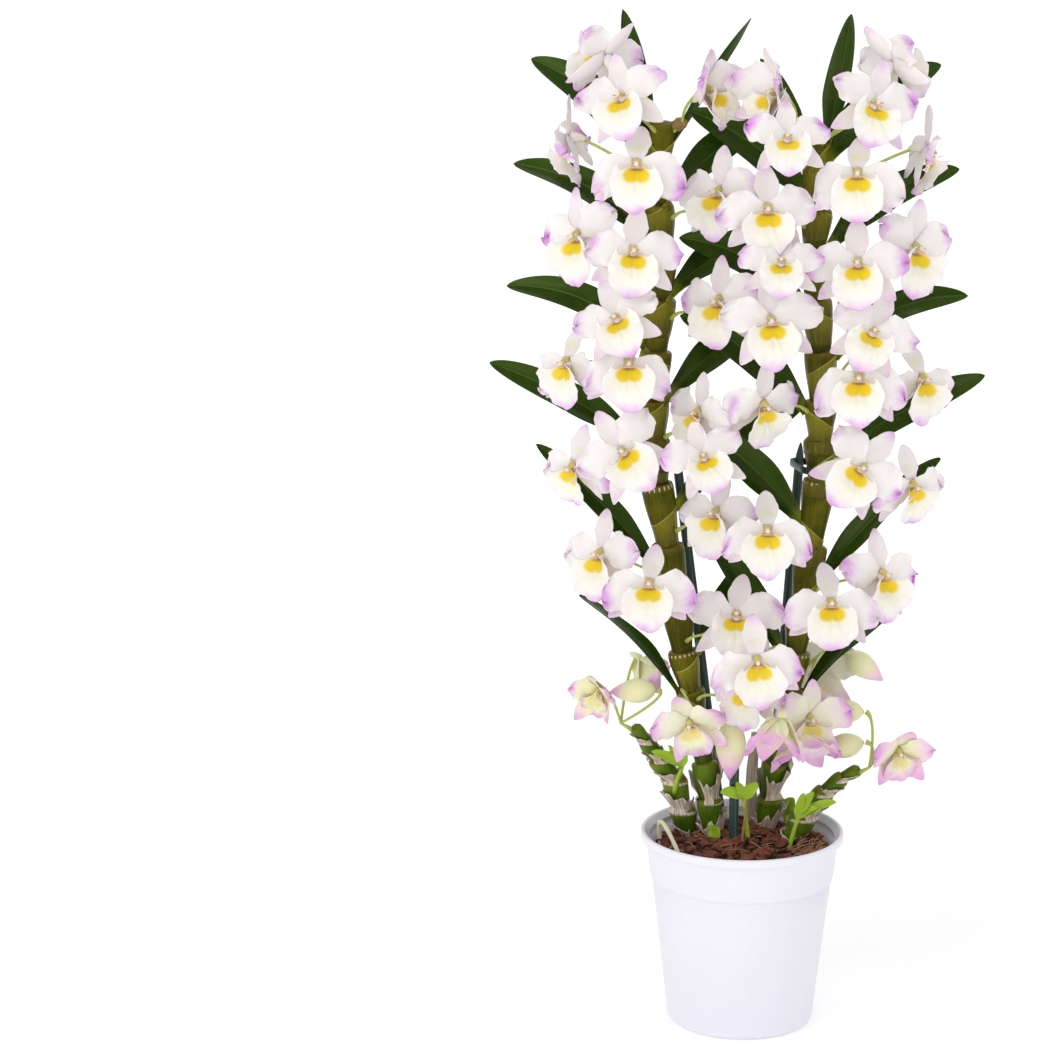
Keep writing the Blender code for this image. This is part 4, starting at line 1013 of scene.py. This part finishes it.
# The dry cane: an old shrunken stem between the tall canes, all papery brown-white skin drawn
# into lengthwise wrinkles.
DRY_LINE = [(5, 42, 98), (5, 41.5, 112), (5, 41, 130), (5.6, 40, 142), (6.3, 39, 154), (7, 38, 165)]
DRY_RADII = [3.6, 3.5, 3.4, 3.1, 2.8, 2.2]


def wrinkled(row, share):
    return 1 + 0.09 * sin(share * CIRCLE * 9 + row) + 0.05 * sin(row * 2.4)


papery_old = Mesh()
papery_old.tube(DRY_LINE, DRY_RADII, 36, lambda row, share: {"sheath": (share * 2 - 1, row / 5, 1)},
                wrinkled)
papery_old.make("dry_old_cane", sheath_green, "dry_sheath", "dry_cane")


# The young shoots: lime-green plantlets, each a slim stem that splits into a few soft leaves. One
# sits on the left short cane and the rest come up through the bark.
SHOOTS = [
    ("plantlet_left", [(-40.5, 12, 134), (-39, 8, 143), (-36, 6, 152)],
     [(-54, 2, 163, 5.5), (-35, 4, 166, 5.5), (-44, 5, 166, 4)]),
    ("plantlet_middle", [(5, 4, 96), (3, 1, 116), (1, -2, 136)],
     [(-13, -6, 141, 6.5), (9, -4, 146, 7), (-4, -5, 147, 5)]),
    ("plantlet_right", [(26, -4, 96), (29, -4, 111), (33, -3, 126)],
     [(42, -5, 142, 6), (55, -4, 136, 6), (44, -6, 133, 5), (36, -4, 141, 5)]),
    ("shoot_back", [(27, 38, 98), (26.5, 38, 106), (26, 38, 114)], [(31, 36, 125, 8), (21, 38, 124, 8)]),
    ("shoot_front", [(-15, 2, 98), (-15.5, 1.5, 104), (-16, 1, 110)],
     [(-20, -1, 119, 6), (-14, -2, 118, 6)]),
]
for name, stem, tips in SHOOTS:
    shoot = Mesh()
    low, middle, top = [Vector(p) for p in stem]
    bend = middle * 2 - (low + top) / 2
    shoot.tube(bowed(low, bend, top, 9), list(np.linspace(1.7, 1.1, 9)), 10,
               lambda row, share: {"leaf": (0.6, 0.5 + row / 20, 0.8 if row > 1 else 0.6)})
    for number, (x, y, z, width) in enumerate(tips):
        start = top - (top - low).normalized() * number
        leaf(shoot, start, (x, y, z), width, 2, 55, seed=name + str(number), fresh=1.0, rows=18, cols=9)
    shoot.make(name + "_leaves", leaf_green, "lime_shoot", name)


# The stakes: slim plastic rods, dark blue-green, ribbed lengthwise and pointed at the top, pushed
# into the bark beside the canes.
stake_green = Finish("stake_green", Roughness=0.42, Coat_Weight=0.1)
around = stake_green.told("stake")[0]
dust = stake_green.noise(70.0, 4.0)
colour = stake_green.mix(dust, rgb(18, 36, 34), rgb(44, 74, 66))
# Painted highlight: a paler line along one edge of each of the four grooves.
colour = colour.mix((around * 25.13).bent("SINE").rise(0.7, 1.0) * 0.5, rgb(84, 116, 104))
stake_green.feed("Base Color", colour)
stake_green.feed("Roughness", 0.34 + dust * 0.25)
stake_green.bump(dust, 0.3, 0.0004)
STAKES = [
    ("stake_left", (-12, 35, 106), (-43, 31, 344)), ("stake_right", (16, 45, 106), (31, 34, 344)),
    ("stake_front", (-5, 1, 106), (-5, 4, 190)),
]
STAKE_RADIUS = 3
POINT_FROM_TOP, POINT_RADII = (12, 7, 3, 0), [2.9, 2.3, 1.4, 0.5]
for name, foot, top in STAKES:
    foot, top = Vector(foot), Vector(top)
    way = (top - foot).normalized()
    length = (top - foot).length
    steps = [-STEM_DEPTH] + [length * share for share in (0, 0.2, 0.4, 0.6, 0.8)]
    steps += [length - d for d in POINT_FROM_TOP]
    rod = Mesh()
    rod.tube([foot + way * d for d in steps], [STAKE_RADIUS] * 6 + POINT_RADII, 32,
             plain("stake", 9, 0),
             section=lambda row, share: 1 - 0.13 * max(cos(share * CIRCLE * 4), 0) ** 4)
    rod.make(name.replace("stake", "rod"), stake_green, "stake_green", name)


# The clips: black plastic bands that loop round a cane and its stake.
clip_black = speckled("clip_black", 0.38, (180.0, 3.0), (14, 15, 18), (40, 42, 48), (0.3, 0.0003))
CLIP_Z, CLIP_BAND, CLIP_HEIGHT = 332.0, 1.5, 4.0
CLIP_SLACK, CLIP_ROD_RADIUS, CLIP_STEP = 1.2, 3.9, 0.3
CLIP_PROFILE = [(0.0, -0.42), (0.18, -0.5), (0.82, -0.5), (1.0, -0.42),
                (1.0, 0.42), (0.82, 0.5), (0.18, 0.5), (0.0, 0.42)]
for (name, foot, top), line in zip(STAKES, (LEFT_LINE, RIGHT_LINE)):
    who = name.split("_")[1]
    share = (CLIP_Z - foot[2]) / (top[2] - foot[2])
    rod_spot = Vector(foot).lerp(Vector(top), share)
    cane_spot = on_line(line, CLIP_Z)
    rings = []
    cane_radius = cane_width(CLIP_Z) / 2 * 1.08 + CLIP_SLACK
    for centre, radius in ((cane_spot, cane_radius), (rod_spot, CLIP_ROD_RADIUS)):
        rings += [(centre.x + radius * cos(a), centre.y + radius * sin(a))
                  for a in np.linspace(0, 2 * pi, 73)[:-1]]
    heart = np.mean(rings, axis=0)
    outer = [np.array(p) - heart for p in rings]
    keep = []
    for a in np.linspace(0, 2 * pi, 97)[:-1]:
        way = np.array((cos(a), sin(a)))
        spot = Vector((*(heart + max(outer, key=lambda p: float(p @ way))), 0))
        if not keep or (spot - keep[-1]).length > CLIP_STEP:
            keep.append(spot)
    if (keep[0] - keep[-1]).length < CLIP_STEP:
        keep.pop()
    band = Mesh()
    count = len(keep)
    verts, faces = [], []
    for k, spot in enumerate(keep):
        ahead = (keep[(k + 1) % count] - keep[k - 1]).normalized()
        outward = Vector((ahead.y, -ahead.x, 0))
        for depth, tall in CLIP_PROFILE:
            point = spot + outward * depth * CLIP_BAND
            verts.append((point.x * MM, point.y * MM, (CLIP_Z + tall * CLIP_HEIGHT) * MM))
    sides = len(CLIP_PROFILE)
    for k in range(count):
        n = (k + 1) % count
        for i in range(sides):
            j = (i + 1) % sides
            faces.append((k * sides + i, n * sides + i, n * sides + j, k * sides + j))
    band.take(verts, faces, {})
    band.make(f"{who}_clip", clip_black, "clip_black", f"clip_{who}")


# The aerial root: a whitish cord-like root that arches out of the bark at the left and back in,
# velvety where it is old and greener at its bend.
root_white = Finish("root_white", Roughness=0.8)
up = root_white.told("root")[1]
felt = root_white.noise(150.0, 4.0)
colour = root_white.mix(felt, rgb(238, 236, 214), rgb(206, 200, 160))
colour = colour.mix(up.rise(0.30, 0.5) * up.rise(0.75, 0.55) * 0.5, rgb(196, 206, 140))
root_white.feed("Base Color", colour)
root_white.bump(felt, 0.5, 0.0004)
ROOT_ARCH = [Vector(spot) for spot in ((-47, 0, 98), (-55, -10, 150), (-32, -29, 98))]
ROOT_STEPS = 30
cord = Mesh()
thick = [1.3 + 0.10 * sin(k * 1.3) for k in range(ROOT_STEPS + 1)]
cord.tube(bowed(*ROOT_ARCH, ROOT_STEPS + 1), thick, 12, plain("root", ROOT_STEPS, 0))
cord.make("arching_root", root_white, "root_white", "aerial_root")


# Fibres on the bark: a tuft of brown root fibre at the right rim, loose ones over the bed, and a dry
# stem and a thin root that stand out of it.
fibre_brown = speckled("fibre_brown", 0.85, (300.0, 3.0), (110, 74, 48), (190, 150, 110))
FIBRES, TUFT_FIBRES, FIBRE_LIMIT = 66, 46, 54
TUFT_X, TUFT_Y, TUFT_Z = 41, -14, 109
DRY_BITS = [
    [(0, -6, 104), (0.5, -6, 116), (2, -5, 128), (2.5, -5, 136)],
    [(-38, -14, 106), (-41, -20, 112), (-45, -24, 108)],
]


def inside_rim(p):
    """The same point, drawn in towards the pot's axis where it would pass the pot's wall."""
    share = min(1, FIBRE_LIMIT / hypot(p.x, p.y))
    return Vector((p.x * share, p.y * share, p.z))


draw = random.Random(7)
tuft = Mesh()
for number in range(FIBRES):
    if number < TUFT_FIBRES:
        middle = Vector((TUFT_X + draw.uniform(-7, 6), TUFT_Y + draw.uniform(-12, 14),
                         TUFT_Z + draw.uniform(-0.5, 2.0)))
    else:
        a, r = draw.uniform(0, 6.28), draw.uniform(12, 46)
        middle = Vector((r * cos(a), r * sin(a), 109.2 + draw.uniform(0, 1.6)))
    turn = draw.uniform(0.5, 1.5) if number < TUFT_FIBRES else draw.uniform(0, 3.1)
    way = Vector((cos(turn), sin(turn), draw.uniform(-0.14, 0.16)))
    long = draw.uniform(5, 12)
    sag = Vector((draw.uniform(-3, 3), draw.uniform(-3, 3), draw.uniform(0.4, 2.6)))
    spots = [inside_rim(p) for p in bowed(middle - way * long, middle + sag, middle + way * long, 9)]
    thick = draw.uniform(0.22, 0.5)
    tuft.tube(spots, [thick] * 9, 6, plain("root", 8, 1))
for spots in DRY_BITS:
    tuft.tube(spots, [0.9, 0.8, 0.7, 0.5][:len(spots)], 8, plain("root", 3, 1))
tuft.make("bark_fibres", fibre_brown, "bark_brown")


# The young blooms and buds near the pot: half open or shut, cream-green with pink tips, nodding
# on the short canes' tips and on the tall canes' low joints.
YOUNG_SPRAYS = [
    ("spray_low_left", SHORT_LEFT_LINE, left_width, 174, 190, [
        (-85, -2, 201, -28, -16, 0, 0.72, 0.40, 0), (-52, 2, 201, -104, -8, 0, 0.85, 0.75, 0),
        (-62, 42, 208, 60, -48, 0, 0.80, 0.55, 0)]),
    ("spray_low_front", LEFT_LINE, cane_width, 196, 250, [(-31, -20, 188, -8, -18, 20, 0.84, 0.20, 0)]),
    ("spray_low_bell", LEFT_LINE, cane_width, 192, 300, [(-8, -10, 186, 0, -86, 0, 1.05, 0.95, 0)]),
    ("spray_low_right", RIGHT_LINE, cane_width, 196, 235, [
        (21, -44, 197, -20, -62, 0, 0.92, 0.55, 0), (38, -4, 187, 26, 0, -10, 0.92, 0.10, 0),
        (33, -6, 178, 24, -58, 0, 0.95, 0.40, 0)]),
    ("spray_low_outer", SHORT_RIGHT_LINE, right_width, 150, 330, [
        (91, 8, 165, 22, -18, -6, 0.80, 0.35, 0), (71, 26, 183, -98, -2, 0, 0.82, 0.96, 0),
        (71, 16, 167, -98, -14, 0, 0.85, 0.70, 0)]),
    ("spray_low_back", RIGHT_LINE, cane_width, 212, 20, [
        (61, 34, 216, 106, -38, 0, 0.85, 0.70, 0), (43, 46, 204, 150, -4, 0, 0.90, 0.15, 0)]),
]
for name, line, width, z, side, blooms in YOUNG_SPRAYS:
    spray(name, line, width, z, side, blooms, 1.0, "young_petal")
